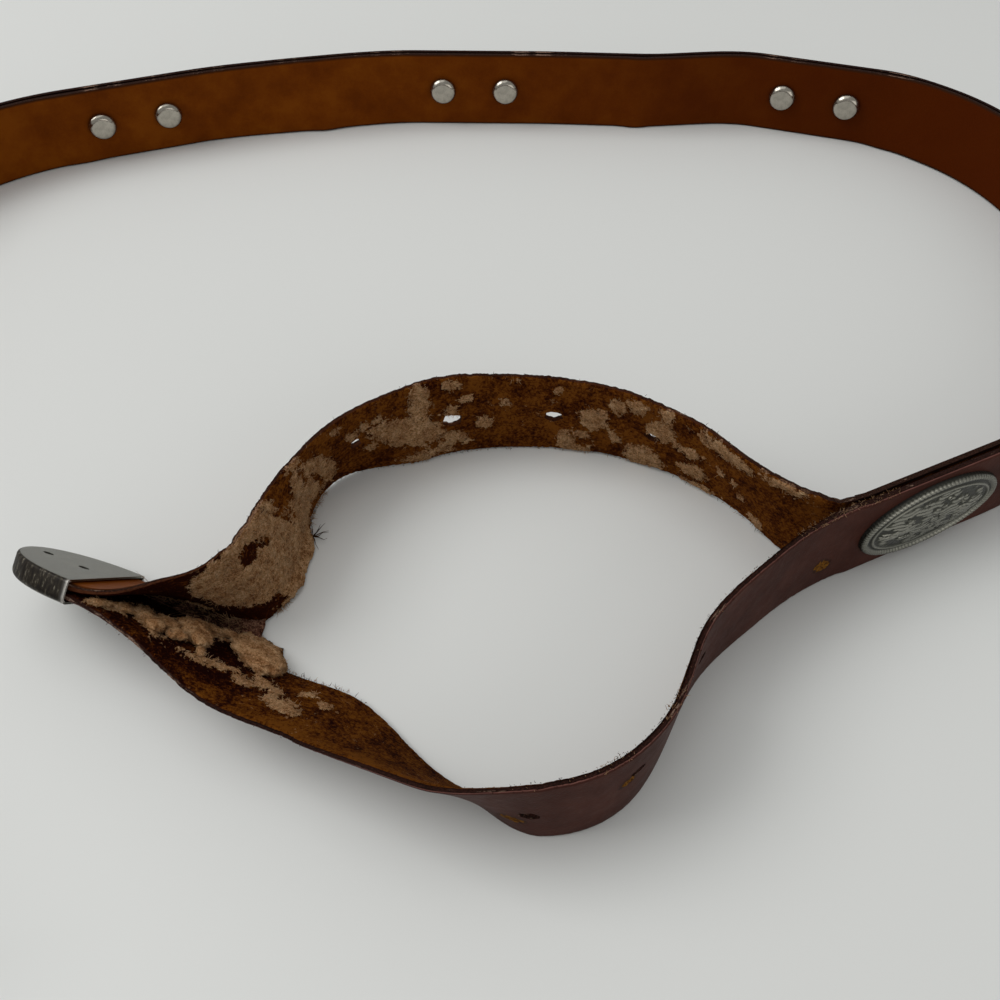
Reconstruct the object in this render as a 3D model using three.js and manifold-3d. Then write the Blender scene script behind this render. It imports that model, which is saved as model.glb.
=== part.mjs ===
import * as THREE from "three";
import { mergeVertices } from "three/addons/utils/BufferGeometryUtils.js";
import Module from "manifold-3d";

// A leather concho belt standing on its long edge. Millimetres, +Z up, X right, Y away.
// Its outer leather and its lining have come apart behind the tip and stand open like an eye.

// Leather
const strapWidth = 25.4;
const outerThickness = 1.8;
const liningThickness = 1.8;
const plyGap = 0.3;
const clearance = 0.3;

// How the belt lies: its spread over the table, its lean per bend
const layLength = 400;
const layDepth = 280;

// Belt holes, counted from the mouth of the tip
const holeDiameter = 4;
const holePitch = 25.4;
const firstHole = 80.5;

// Conchos
const conchoLength = 39;
const conchoWidth = 22;
const conchoPlate = 1.1;
const conchoDome = 1.1;
const rimWidth = 2.4;
const rimTop = 1.6;
const grooveTop = 0.8;
const ropeTurns = 36;
const ropeNotch = 0.35;
const reliefHeight = 0.5;
const petalCount = 8;
const petalWidth = 4.4;
const petalGap = 0.4;
const bossLength = 7;
const bossWidth = 5.6;
const postSpacing = 0.57 * conchoLength;
const postDiameter = 3;
const postGrip = 1;

// Rivet caps
const capDiameter = 9.3;
const capHeight = 2.4;

// Tip
const tipLength = 22;
const tipWidth = 26.4;
const tipWall = 0.5;
const tipGrip = 7;
const tipStraight = 2;
const pinHoleLength = 2.6;
const pinHoleWidth = 1.7;
const pinHoleInset = 6.8;
const pinHoleSpacing = 9.8;
const trimmedWidth = 23.4;

// Buckle and the leather turned back round its bar
const buckleLength = 36;
const buckleHeight = 34;
const buckleRim = 3.6;
const buckleCorner = 5;
const buckleThickness = 3.4;
const barWidth = 4;
const prongWidth = 3;
const turnBack = 26;

// Steps along a curve, and facets of the round pieces
const stepLength = 10;
const stepTurn = THREE.MathUtils.degToRad(8);
const foldSteps = 8;
const holeSides = 8;
const postSides = 10;
const capSides = 10;
const petalSteps = 2;
const bossRings = 5;
const tipSteps = 14;
const cornerSteps = 5;
const weldDistance = 1e-4;

const tipThickness = outerThickness + liningThickness + plyGap + 2 * clearance + 2 * tipWall;
const buckleDrop = (buckleHeight - strapWidth) / 2;

const wasm = await Module();
wasm.setup();

// Route of the belt. across and away are shares of the spread, heading and lean are degrees.
// A positive lean tips the top edge to the smooth side. lift is a share of the buckle's drop.
const joinedRoute = [
  { across: -0.360, away: 0.020, heading: 128, lean: 0, lift: 1, concho: false },
  { across: -0.440, away: 0.186, heading: 114, lean: 0, lift: 0.4, concho: true },
  { across: -0.493, away: 0.600, heading: 86, lean: 0, lift: 0, concho: true },
  { across: -0.316, away: 0.908, heading: 19, lean: -3, lift: 0, concho: true },
  { across: -0.155, away: 0.963, heading: 11, lean: 2, lift: 0, concho: false },
  { across: -0.023, away: 0.978, heading: -1, lean: 0, lift: 0, concho: true },
  { across: 0.125, away: 0.970, heading: -2, lean: 0, lift: 0, concho: false },
  { across: 0.278, away: 0.950, heading: -17, lean: 0, lift: 0, concho: true },
  { across: 0.370, away: 0.880, heading: -42, lean: 5, lift: 0, concho: false },
  { across: 0.425, away: 0.600, heading: -93, lean: 2, lift: 0, concho: true },
  { across: 0.246, away: 0.282, heading: -155, lean: 0, lift: 0, concho: true },
  { across: 0.196, away: 0.250, heading: -156, lean: 0, lift: 0, concho: false },
];

// The outer leather from the join to the mouth of the tip
const outerRoute = [
  { across: 0.145, away: 0.203, heading: -139, lean: 0 },
  { across: 0.099, away: 0.138, heading: -123, lean: 1 },
  { across: 0.078, away: 0.082, heading: -119, lean: 4 },
  { across: 0.055, away: 0.041, heading: -145, lean: 1 },
  { across: 0.020, away: 0.026, heading: -182, lean: 2 },
  { across: -0.016, away: 0.054, heading: -204, lean: 25 },
  { across: -0.071, away: 0.122, heading: -217, lean: 50 },
  { across: -0.128, away: 0.161, heading: -220, lean: 49 },
];

// The lining from the join to the mouth of the tip
const liningRoute = [
  { across: 0.190, away: 0.249, heading: -166, lean: 1 },
  { across: 0.175, away: 0.259, heading: -215, lean: 5 },
  { across: 0.149, away: 0.305, heading: -230, lean: 14 },
  { across: 0.115, away: 0.349, heading: -213, lean: 10 },
  { across: 0.065, away: 0.381, heading: -195, lean: 5 },
  { across: 0.013, away: 0.389, heading: -180, lean: 1 },
  { across: -0.044, away: 0.375, heading: -157, lean: -4 },
  { across: -0.104, away: 0.344, heading: -133, lean: 12 },
  { across: -0.120, away: 0.222, heading: -107, lean: -13 },
  { across: -0.129, away: 0.200, heading: -122, lean: -12 },
  { across: -0.149, away: 0.196, heading: -177, lean: 2 },
  { across: -0.170, away: 0.208, heading: -204, lean: 26 },
];

// Belt holes in the lining and, a little off them, in the outer leather: drop is a share of the
// width, slip a share of the pitch towards the tip.
const beltHoles = [
  { step: 0, inOuter: false, drop: 0, slip: 0 },
  { step: 1, inOuter: true, drop: 0.04, slip: 0 },
  { step: 2, inOuter: true, drop: -0.14, slip: 0.2 },
  { step: 3, inOuter: true, drop: 0, slip: 0 },
];

const tipMouth = { across: -0.208, away: 0.226, heading: -204, lean: 40 };

// Table frame for a row of a route
function place(row, tipLift = 0) {
  return {
    x: row.across * layLength,
    y: row.away * layDepth,
    heading: THREE.MathUtils.degToRad(row.heading),
    lean: THREE.MathUtils.degToRad(row.lean),
    rise: (row.lift ?? 0) * buckleDrop + tipLift,
    width: strapWidth,
  };
}

// A row stretched into a straight stretch of the given length, centred on it
function straight(row, length, shareBefore = 0.5) {
  const start = { ...row };
  const end = { ...row };
  start.x -= Math.cos(row.heading) * length * shareBefore;
  start.y -= Math.sin(row.heading) * length * shareBefore;
  end.x += Math.cos(row.heading) * length * (1 - shareBefore);
  end.y += Math.sin(row.heading) * length * (1 - shareBefore);
  return [start, end];
}

function mix(a, b, t) {
  return a + (b - a) * t;
}

// Rows joined by smooth curves that leave and reach each row along its heading
function trace(rows) {
  const points = [];
  for (let i = 0; i + 1 < rows.length; i += 1) {
    const a = rows[i];
    const b = rows[i + 1];
    const chord = Math.hypot(b.x - a.x, b.y - a.y);
    const turn = Math.atan2(Math.sin(b.heading - a.heading), Math.cos(b.heading - a.heading));
    const reach = chord / (3 * Math.cos(turn / 4) ** 2);
    const curve = new THREE.CubicBezierCurve(
      new THREE.Vector2(a.x, a.y),
      new THREE.Vector2(a.x + Math.cos(a.heading) * reach, a.y + Math.sin(a.heading) * reach),
      new THREE.Vector2(b.x - Math.cos(b.heading) * reach, b.y - Math.sin(b.heading) * reach),
      new THREE.Vector2(b.x, b.y),
    );
    const leanTurn = Math.abs(b.lean - a.lean);
    const bend = Math.abs(turn) + leanTurn;
    const steps = Math.max(Math.ceil(bend / stepTurn), bend > 0 ? Math.ceil(chord / stepLength) : 1);
    for (let k = 0; k < steps; k += 1) {
      const t = k / steps;
      const ease = t * t * (3 - 2 * t);
      const spot = curve.getPoint(t);
      const way = curve.getTangent(t);
      points.push({
        x: spot.x,
        y: spot.y,
        heading: Math.atan2(way.y, way.x),
        lean: mix(a.lean, b.lean, ease),
        rise: mix(a.rise, b.rise, ease),
        width: mix(a.width, b.width, ease),
      });
    }
  }
  points.push(rows[rows.length - 1]);
  return points;
}

// Stations with a foot on the table, and the directions along, up the width and to the smooth side
function stationsOf(points, clearOfTable) {
  const feet = points.map((p) => {
    const lift = p.rise + clearOfTable * Math.abs(Math.sin(p.lean));
    return new THREE.Vector3(p.x, p.y, lift);
  });
  let travelled = 0;
  let previous = null;
  return points.map((p, i) => {
    const before = feet[Math.max(i - 1, 0)];
    const after = feet[Math.min(i + 1, feet.length - 1)];
    const along = after.clone().sub(before).normalize();
    const smoothSide = new THREE.Vector3(-Math.sin(p.heading), Math.cos(p.heading), 0);
    const up = new THREE.Vector3(0, 0, Math.cos(p.lean)).addScaledVector(smoothSide, Math.sin(p.lean));
    up.addScaledVector(along, -up.dot(along)).normalize();
    const out = up.clone().cross(along);
    const middle = feet[i].clone().addScaledVector(up, strapWidth / 2);
    travelled += previous ? middle.distanceTo(previous) : 0;
    previous = middle;
    return { middle, along, up, out, width: p.width, travelled };
  });
}

// The same stations moved to the middle of one layer of leather
function layer(stations, offset) {
  return stations.map((s) => ({ ...s, middle: s.middle.clone().addScaledVector(s.out, offset) }));
}

// A layer of leather as a closed band with a rectangular section
function bandGeometry(stations, thickness) {
  const corners = [[-1, -1], [1, -1], [1, 1], [-1, 1]];
  const positions = [];
  stations.forEach((s) => {
    corners.forEach(([side, edge]) => {
      const corner = s.middle.clone();
      corner.addScaledVector(s.out, side * thickness / 2);
      corner.addScaledVector(s.up, edge * s.width / 2);
      positions.push(corner.x, corner.y, corner.z);
    });
  });
  const index = [];
  const n = corners.length;
  for (let i = 0; i + 1 < stations.length; i += 1) {
    for (let k = 0; k < n; k += 1) {
      const a = i * n + k;
      const b = i * n + (k + 1) % n;
      if (k < n / 2) {
        index.push(a, b, b + n, a, b + n, a + n);
      } else {
        index.push(a, b, a + n, b, b + n, a + n);
      }
    }
  }
  const last = (stations.length - 1) * n;
  index.push(0, 3, 2, 0, 2, 1);
  index.push(last, last + 1, last + 2, last, last + 2, last + 3);
  const geometry = new THREE.BufferGeometry();
  geometry.setAttribute("position", new THREE.Float32BufferAttribute(positions, 3));
  geometry.setIndex(index);
  return geometry;
}

function toSolid(geometry) {
  const bare = geometry.clone();
  bare.deleteAttribute("normal");
  bare.deleteAttribute("uv");
  const merged = mergeVertices(bare, weldDistance);
  return new wasm.Manifold(new wasm.Mesh({
    numProp: 3,
    vertProperties: new Float32Array(merged.attributes.position.array),
    triVerts: new Uint32Array(merged.index.array),
  }));
}

function toGeometry(solid) {
  const mesh = solid.getMesh();
  const geometry = new THREE.BufferGeometry();
  geometry.setAttribute("position", new THREE.Float32BufferAttribute(mesh.vertProperties, 3));
  geometry.setIndex(Array.from(mesh.triVerts));
  geometry.computeVertexNormals();
  return geometry;
}

// Axes at a station: x back to the buckle, y up the width, z to the smooth side
function facingOut(s) {
  return new THREE.Matrix4().makeBasis(s.along.clone().negate(), s.up, s.out).setPosition(s.middle);
}

// Axes at a station: x on to the tip, y up the width, z to the lining side
function facingIn(s) {
  return new THREE.Matrix4().makeBasis(s.along, s.up, s.out.clone().negate()).setPosition(s.middle);
}

// A round pin through the leather at a station, to cut with
function pinAt(s, diameter, depth) {
  const pin = new THREE.CylinderGeometry(diameter / 2, diameter / 2, depth, holeSides);
  pin.rotateX(Math.PI / 2);
  pin.applyMatrix4(facingOut(s));
  return toSolid(pin);
}

// The station at a distance along a strap
function stationAt(stations, distance) {
  let i = 0;
  while (i + 2 < stations.length && stations[i + 1].travelled < distance) {
    i += 1;
  }
  const a = stations[i];
  const b = stations[i + 1];
  const t = (distance - a.travelled) / (b.travelled - a.travelled);
  const along = a.along.clone().lerp(b.along, t).normalize();
  const up = a.up.clone().lerp(b.up, t);
  up.addScaledVector(along, -up.dot(along)).normalize();
  return { middle: a.middle.clone().lerp(b.middle, t), along, up, out: up.clone().cross(along) };
}

const clearOfTable = Math.max(outerThickness, liningThickness) + plyGap / 2;
const tipOutside = tipThickness / 2 - clearOfTable;
const mouthLift = tipOutside * Math.sin(THREE.MathUtils.degToRad(tipMouth.lean))
  + (tipWidth - strapWidth) / 2 * Math.cos(THREE.MathUtils.degToRad(tipMouth.lean));

const joinedRows = joinedRoute.flatMap((row) => {
  return row.concho ? straight(place(row), conchoLength) : [place(row)];
});
const mouth = { ...place(tipMouth, mouthLift), width: trimmedWidth };
const tipEnd = straight(mouth, tipGrip, 0)[1];
const join = joinedRows[joinedRows.length - 1];

const joinedPoints = trace(joinedRows);
const outerPoints = trace([join, ...outerRoute.map((row) => place(row)), mouth, tipEnd]);
const liningPoints = trace([join, ...liningRoute.map((row) => place(row)), mouth, tipEnd]);
const outerStations = stationsOf([...joinedPoints.slice(0, -1), ...outerPoints], clearOfTable);
const liningStations = stationsOf([...joinedPoints.slice(0, -1), ...liningPoints], clearOfTable);
const outerLayer = plyGap / 2 + outerThickness / 2;
const liningLayer = -(plyGap / 2 + liningThickness / 2);

// Stations of the conchos: the middle of each straight stretch
function conchoStations() {
  const spots = joinedRoute.filter((row) => row.concho).map((row) => place(row));
  return spots.map((spot) => {
    const near = outerStations.slice(0, joinedPoints.length).map((s, i) => {
      return { i, gap: Math.hypot(joinedPoints[i].x - spot.x, joinedPoints[i].y - spot.y) };
    });
    near.sort((a, b) => a.gap - b.gap);
    const pair = [near[0].i, near[1].i].sort((a, b) => a - b).map((i) => outerStations[i]);
    return stationAt(pair, (pair[0].travelled + pair[1].travelled) / 2);
  });
}

const conchoSpots = conchoStations();

// A station moved along the strap
function slide(s, distance) {
  return { ...s, middle: s.middle.clone().addScaledVector(s.along, distance) };
}

const postSpots = conchoSpots.flatMap((s) => [slide(s, -postSpacing / 2), slide(s, postSpacing / 2)]);

function cutHoles(solid, spots, diameter, depth) {
  return spots.reduce((left, s) => left.subtract(pinAt(s, diameter, depth)), solid);
}

// The start of the outer leather turned back round the buckle's bar
const turnRadius = outerThickness / 2 + clearance + liningThickness / 2;
const foldReach = barWidth / 2 + turnRadius + outerThickness / 2 + clearance;
const start = outerStations[0];
const barSpot = slide(start, -barWidth / 2 - clearance);
barSpot.middle.addScaledVector(start.out, liningLayer);

function turnBackStations() {
  const flap = outerStations.filter((s) => s.travelled < turnBack).reverse();
  const stations = flap.map((s) => ({
    ...s,
    middle: s.middle.clone().addScaledVector(s.out, liningLayer - turnRadius),
    out: s.out.clone().negate(),
  }));
  const centre = start.middle.clone().addScaledVector(start.out, liningLayer);
  centre.addScaledVector(start.along, -barWidth - clearance);
  for (let k = 0; k <= foldSteps; k += 1) {
    const angle = Math.PI * (1 - k / foldSteps);
    const out = start.out.clone().multiplyScalar(Math.cos(angle));
    out.addScaledVector(start.along, -Math.sin(angle));
    stations.push({ ...start, middle: centre.clone().addScaledVector(out, turnRadius), out });
  }
  return stations;
}

const holeDepth = 3 * (outerThickness + liningThickness + plyGap);

// Stations of belt holes, counted back from the mouth of the tip; offCentre 0 leaves them in line
function holeSpots(stations, rows, offCentre) {
  const lengthToMouth = stations.at(-1).travelled - tipGrip;
  return rows.map((row) => {
    const step = row.step - row.slip * offCentre;
    const spot = stationAt(stations, lengthToMouth - firstHole - holePitch * step);
    spot.middle.addScaledVector(spot.up, -row.drop * strapWidth * offCentre);
    return spot;
  });
}

function outerStrap() {
  const stations = layer(outerStations, outerLayer);
  const band = toSolid(bandGeometry([...turnBackStations(), ...stations], outerThickness));
  const holes = holeSpots(outerStations, beltHoles.filter((row) => row.inOuter), 1);
  const punched = cutHoles(band, holes, holeDiameter, holeDepth);
  const slot = new THREE.BoxGeometry(foldReach * 2, prongWidth + 2 * clearance, foldReach * 2);
  slot.applyMatrix4(facingOut(barSpot));
  const folded = punched.subtract(toSolid(slot));
  return toGeometry(cutHoles(folded, postSpots, postDiameter + 2 * clearance, holeDepth));
}

function liningStrap() {
  const band = toSolid(bandGeometry(layer(liningStations, liningLayer), liningThickness));
  const holes = holeSpots(liningStations, beltHoles, 0);
  const punched = cutHoles(band, holes, holeDiameter, holeDepth);
  return toGeometry(cutHoles(punched, postSpots, postDiameter + 2 * clearance, holeDepth));
}

// An oval shell raised in steps: each row is an inset from the outline and a height
function ovalRings(rows, segments, ripple) {
  const positions = [];
  rows.forEach((row) => {
    for (let k = 0; k < segments; k += 1) {
      const angle = 2 * Math.PI * k / segments;
      const notch = row.rope && k % 2 === 1 ? ripple : 0;
      const inset = row.inset + notch;
      positions.push((conchoLength / 2 - inset) * Math.cos(angle));
      positions.push((conchoWidth / 2 - inset) * Math.sin(angle));
      positions.push(row.height - notch);
    }
  });
  const index = [];
  for (let i = 0; i + 1 < rows.length; i += 1) {
    for (let k = 0; k < segments; k += 1) {
      const a = i * segments + k;
      const b = i * segments + (k + 1) % segments;
      index.push(a, b, b + segments, a, b + segments, a + segments);
    }
  }
  const foot = positions.length / 3;
  positions.push(0, 0, rows[0].height);
  positions.push(0, 0, rows[rows.length - 1].height);
  const top = (rows.length - 1) * segments;
  for (let k = 0; k < segments; k += 1) {
    const next = (k + 1) % segments;
    index.push(foot, next, k, foot + 1, top + k, top + next);
  }
  const geometry = new THREE.BufferGeometry();
  geometry.setAttribute("position", new THREE.Float32BufferAttribute(positions, 3));
  geometry.setIndex(index);
  return geometry;
}

// One raised leaf of the scroll relief, pointing along +X
function leaf(length, width, height) {
  const outline = new THREE.Shape();
  outline.moveTo(0, 0);
  outline.quadraticCurveTo(length / 3, width / 2, length, 0);
  outline.quadraticCurveTo(length / 3, -width / 2, 0, 0);
  const settings = { depth: height, bevelEnabled: false, curveSegments: petalSteps };
  return new THREE.ExtrudeGeometry(outline, settings);
}

function conchoShape() {
  const domeTop = conchoPlate + conchoDome;
  const rows = [
    { inset: 0, height: 0, rope: false },
    { inset: 0, height: rimTop / 2, rope: true },
    { inset: rimWidth / 3, height: rimTop, rope: false },
    { inset: rimWidth, height: grooveTop, rope: false },
    { inset: rimWidth * 2, height: conchoPlate + conchoDome / 2, rope: false },
    { inset: conchoWidth / 3, height: domeTop, rope: false },
  ];
  let solid = toSolid(ovalRings(rows, ropeTurns, ropeNotch));
  const stretch = conchoLength / conchoWidth;
  for (let k = 0; k < petalCount; k += 1) {
    const angle = 2 * Math.PI * (k + 0.5) / petalCount;
    const acrossRing = Math.hypot(Math.cos(angle) * stretch, Math.sin(angle));
    const reach = (conchoWidth / 2 - rimWidth * 2) * acrossRing - petalGap;
    const petal = leaf(reach, petalWidth, conchoDome + reliefHeight);
    petal.rotateZ(Math.atan2(Math.sin(angle), Math.cos(angle) * stretch));
    petal.translate(0, 0, conchoPlate);
    solid = solid.add(toSolid(petal));
  }
  const boss = new THREE.SphereGeometry(1, postSides, bossRings);
  boss.scale(bossLength / 2, bossWidth / 2, conchoDome / 2 + reliefHeight);
  boss.translate(0, 0, domeTop);
  solid = solid.add(toSolid(boss));
  const postRoot = conchoPlate / 2;
  const postEnd = plyGap + outerThickness + liningThickness + 2 * clearance + postGrip;
  for (const side of [-1, 1]) {
    const postLength = postRoot + postEnd;
    const post = new THREE.CylinderGeometry(postDiameter / 2, postDiameter / 2, postLength, postSides);
    post.rotateX(Math.PI / 2);
    post.translate(side * postSpacing / 2, 0, postRoot - postLength / 2);
    solid = solid.add(toSolid(post));
  }
  return toGeometry(solid);
}

// Half section of a cap from its blunt centre to its edge, as shares of its radius and height
const capSection = [
  { reach: 0, height: 0 },
  { reach: 0.6, height: 0 },
  { reach: 0.86, height: 0.3 },
  { reach: 1, height: 0.8 },
  { reach: 0.94, height: 1 },
];

// Cap with a blind socket for the post; +z points to the leather
function capShape() {
  const socket = postDiameter / 2 + clearance;
  const socketFloor = capHeight - postGrip - clearance;
  const profile = capSection.map((row) => {
    return new THREE.Vector2(row.reach * capDiameter / 2, row.height * capHeight);
  });
  profile.push(new THREE.Vector2(socket, capHeight));
  profile.push(new THREE.Vector2(socket, socketFloor));
  profile.push(new THREE.Vector2(0, socketFloor));
  const cap = new THREE.LatheGeometry(profile, capSides);
  cap.rotateX(Math.PI / 2);
  return toGeometry(toSolid(cap));
}

// The tip's outline: straight from the mouth, then rounded. x runs to the rounded end.
function tipOutline(inset) {
  const half = tipWidth / 2 - inset;
  const round = tipLength - tipStraight - inset;
  const outline = new THREE.Shape();
  outline.moveTo(0, -half);
  outline.lineTo(tipStraight, -half);
  outline.absellipse(tipStraight, 0, round, half, -Math.PI / 2, Math.PI / 2, false);
  outline.lineTo(0, half);
  outline.closePath();
  return outline;
}

function tipShape() {
  const settings = { bevelEnabled: false, curveSegments: tipSteps };
  const body = new THREE.ExtrudeGeometry(tipOutline(0), { ...settings, depth: tipThickness });
  body.translate(0, 0, -tipThickness / 2);
  const cavityDepth = tipThickness - 2 * tipWall;
  const cavity = new THREE.ExtrudeGeometry(tipOutline(tipWall), { ...settings, depth: cavityDepth });
  cavity.translate(0, 0, -cavityDepth / 2);
  const mouthCut = new THREE.BoxGeometry(tipStraight, tipWidth - 2 * tipWall, cavityDepth);
  let solid = toSolid(body).subtract(toSolid(cavity)).subtract(toSolid(mouthCut));
  for (const step of [0, 1]) {
    const hole = new THREE.CylinderGeometry(0.5, 0.5, tipWall * 3, postSides);
    hole.rotateX(Math.PI / 2);
    hole.scale(pinHoleLength, pinHoleWidth, 1);
    hole.translate(pinHoleInset + pinHoleSpacing * step, 0, tipThickness / 2);
    solid = solid.subtract(toSolid(hole));
  }
  return toGeometry(solid);
}

// The rounded rectangle of the buckle; the side that holds the bar lies over x = 0
function roundedFrame(inset, corner) {
  const x0 = inset - buckleRim / 2;
  const x1 = buckleLength - buckleRim / 2 - inset;
  const half = buckleHeight / 2 - inset;
  const outline = new THREE.Shape();
  outline.moveTo(x0 + corner, -half);
  outline.lineTo(x1 - corner, -half);
  outline.absarc(x1 - corner, -half + corner, corner, -Math.PI / 2, 0, false);
  outline.lineTo(x1, half - corner);
  outline.absarc(x1 - corner, half - corner, corner, 0, Math.PI / 2, false);
  outline.lineTo(x0 + corner, half);
  outline.absarc(x0 + corner, half - corner, corner, Math.PI / 2, Math.PI, false);
  outline.lineTo(x0, -half + corner);
  outline.absarc(x0 + corner, -half + corner, corner, Math.PI, 1.5 * Math.PI, false);
  return outline;
}

// Buckle frame, flat bar and prong in one piece, centred on the bar
function buckleShape() {
  const settings = { bevelEnabled: false, curveSegments: cornerSteps };
  const outside = new THREE.ExtrudeGeometry(
    roundedFrame(0, buckleCorner),
    { ...settings, depth: buckleThickness },
  );
  outside.translate(0, 0, -buckleThickness / 2);
  const window = new THREE.ExtrudeGeometry(
    roundedFrame(buckleRim, buckleCorner - buckleRim),
    { ...settings, depth: buckleThickness * 2 },
  );
  window.translate(0, 0, -buckleThickness);
  const barSlot = new THREE.BoxGeometry(foldReach * 2, strapWidth + 2 * clearance, buckleThickness * 2);
  const bar = new THREE.BoxGeometry(barWidth, strapWidth + buckleRim, liningThickness);
  const prongLength = buckleLength - buckleRim;
  const prong = new THREE.BoxGeometry(prongLength, prongWidth, liningThickness);
  prong.translate(prongLength / 2, 0, 0);
  const frame = toSolid(outside).subtract(toSolid(window)).subtract(toSolid(barSlot));
  return toGeometry(frame.add(toSolid(bar)).add(toSolid(prong)));
}

function coat(color, roughness, metalness) {
  return new THREE.MeshStandardMaterial({ color, roughness, metalness });
}

const leatherOuter = () => coat(0x41292a, 0.5, 0);
const leatherLining = () => coat(0x6b3511, 0.55, 0);
const agedSilver = () => coat(0x8c8a84, 0.4, 1);
const nickel = () => coat(0xb4b2ac, 0.28, 1);

const belt = new THREE.Group();

function addPiece(name, geometry, material, matrix) {
  const mesh = new THREE.Mesh(geometry, material);
  mesh.name = name;
  if (matrix) {
    matrix.decompose(mesh.position, mesh.quaternion, mesh.scale);
  }
  belt.add(mesh);
}

addPiece("outer_strap", outerStrap(), leatherOuter());
addPiece("lining_strap", liningStrap(), leatherLining());

const conchoGeometry = conchoShape();
const capGeometry = capShape();
conchoSpots.forEach((spot, i) => {
  const number = conchoSpots.length - i;
  const face = spot.middle.clone().addScaledVector(spot.out, plyGap / 2 + outerThickness + clearance);
  addPiece(`concho_${number}`, conchoGeometry, agedSilver(), facingOut({ ...spot, middle: face }));
  for (const [letter, side] of [["a", 1], ["b", -1]]) {
    const back = slide(spot, side * postSpacing / 2);
    const drop = plyGap / 2 + liningThickness + clearance + capHeight;
    back.middle.addScaledVector(spot.out, -drop);
    addPiece(`rivet_cap_${number}${letter}`, capGeometry, nickel(), facingOut(back));
  }
});

const mouthStation = liningStations.at(-1);
const tipSpot = slide(mouthStation, -tipGrip);
addPiece("belt_tip", tipShape(), agedSilver(), facingIn(tipSpot));

addPiece("buckle", buckleShape(), nickel(), facingOut(barSpot));

// The origin is on the table, under the middle of the belt's box
belt.updateMatrixWorld(true);
const box = new THREE.Box3().setFromObject(belt, true);
belt.position.set(-(box.min.x + box.max.x) / 2, -(box.min.y + box.max.y) / 2, -box.min.z);
belt.updateMatrixWorld(true);

export default belt;
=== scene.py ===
import math
import random

import bmesh
import bpy
import numpy as np
from mathutils import Matrix, Vector, noise


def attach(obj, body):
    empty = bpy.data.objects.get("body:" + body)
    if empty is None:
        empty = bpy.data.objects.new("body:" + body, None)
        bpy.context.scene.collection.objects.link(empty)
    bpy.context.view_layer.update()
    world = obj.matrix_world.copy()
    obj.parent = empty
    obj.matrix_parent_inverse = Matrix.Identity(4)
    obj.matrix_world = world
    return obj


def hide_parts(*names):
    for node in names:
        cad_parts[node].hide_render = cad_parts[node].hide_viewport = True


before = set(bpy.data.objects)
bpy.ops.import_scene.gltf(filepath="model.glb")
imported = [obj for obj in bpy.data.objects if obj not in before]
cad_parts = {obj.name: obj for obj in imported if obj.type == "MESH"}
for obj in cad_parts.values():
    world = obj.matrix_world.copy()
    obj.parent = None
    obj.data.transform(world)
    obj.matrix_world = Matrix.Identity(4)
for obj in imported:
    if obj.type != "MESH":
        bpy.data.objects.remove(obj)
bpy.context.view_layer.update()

print("frame loaded:", len(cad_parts), "solids")

mm = 0.001
random.seed(7)
bpy.context.scene.view_settings.view_transform = "Standard"


class Val:
    # a shader socket that can stand in a Python sum
    def __init__(self, recipe, socket):
        self.recipe = recipe
        self.socket = socket

    def sum(self, how, other, swap=False):
        pair = (other, self) if swap else (self, other)
        return self.recipe.node("ShaderNodeMath", {"operation": how}, {0: pair[0], 1: pair[1]})

    def __add__(self, other):
        return self.sum("ADD", other)

    def __radd__(self, other):
        return self.sum("ADD", other, True)

    def __sub__(self, other):
        return self.sum("SUBTRACT", other)

    def __rsub__(self, other):
        return self.sum("SUBTRACT", other, True)

    def __mul__(self, other):
        return self.sum("MULTIPLY", other)

    def __rmul__(self, other):
        return self.sum("MULTIPLY", other, True)

    def atMost(self, other):
        return self.sum("MINIMUM", other)

    def atLeast(self, other):
        return self.sum("MAXIMUM", other)

    def rise(self, low, high):
        # 0 below low, 1 above high, smooth between; low above high turns it round
        sockets = {"Value": self, "From Min": low, "From Max": high, "To Min": 0, "To Max": 1}
        return self.recipe.node("ShaderNodeMapRange", {"interpolation_type": "SMOOTHSTEP"}, sockets)


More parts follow.
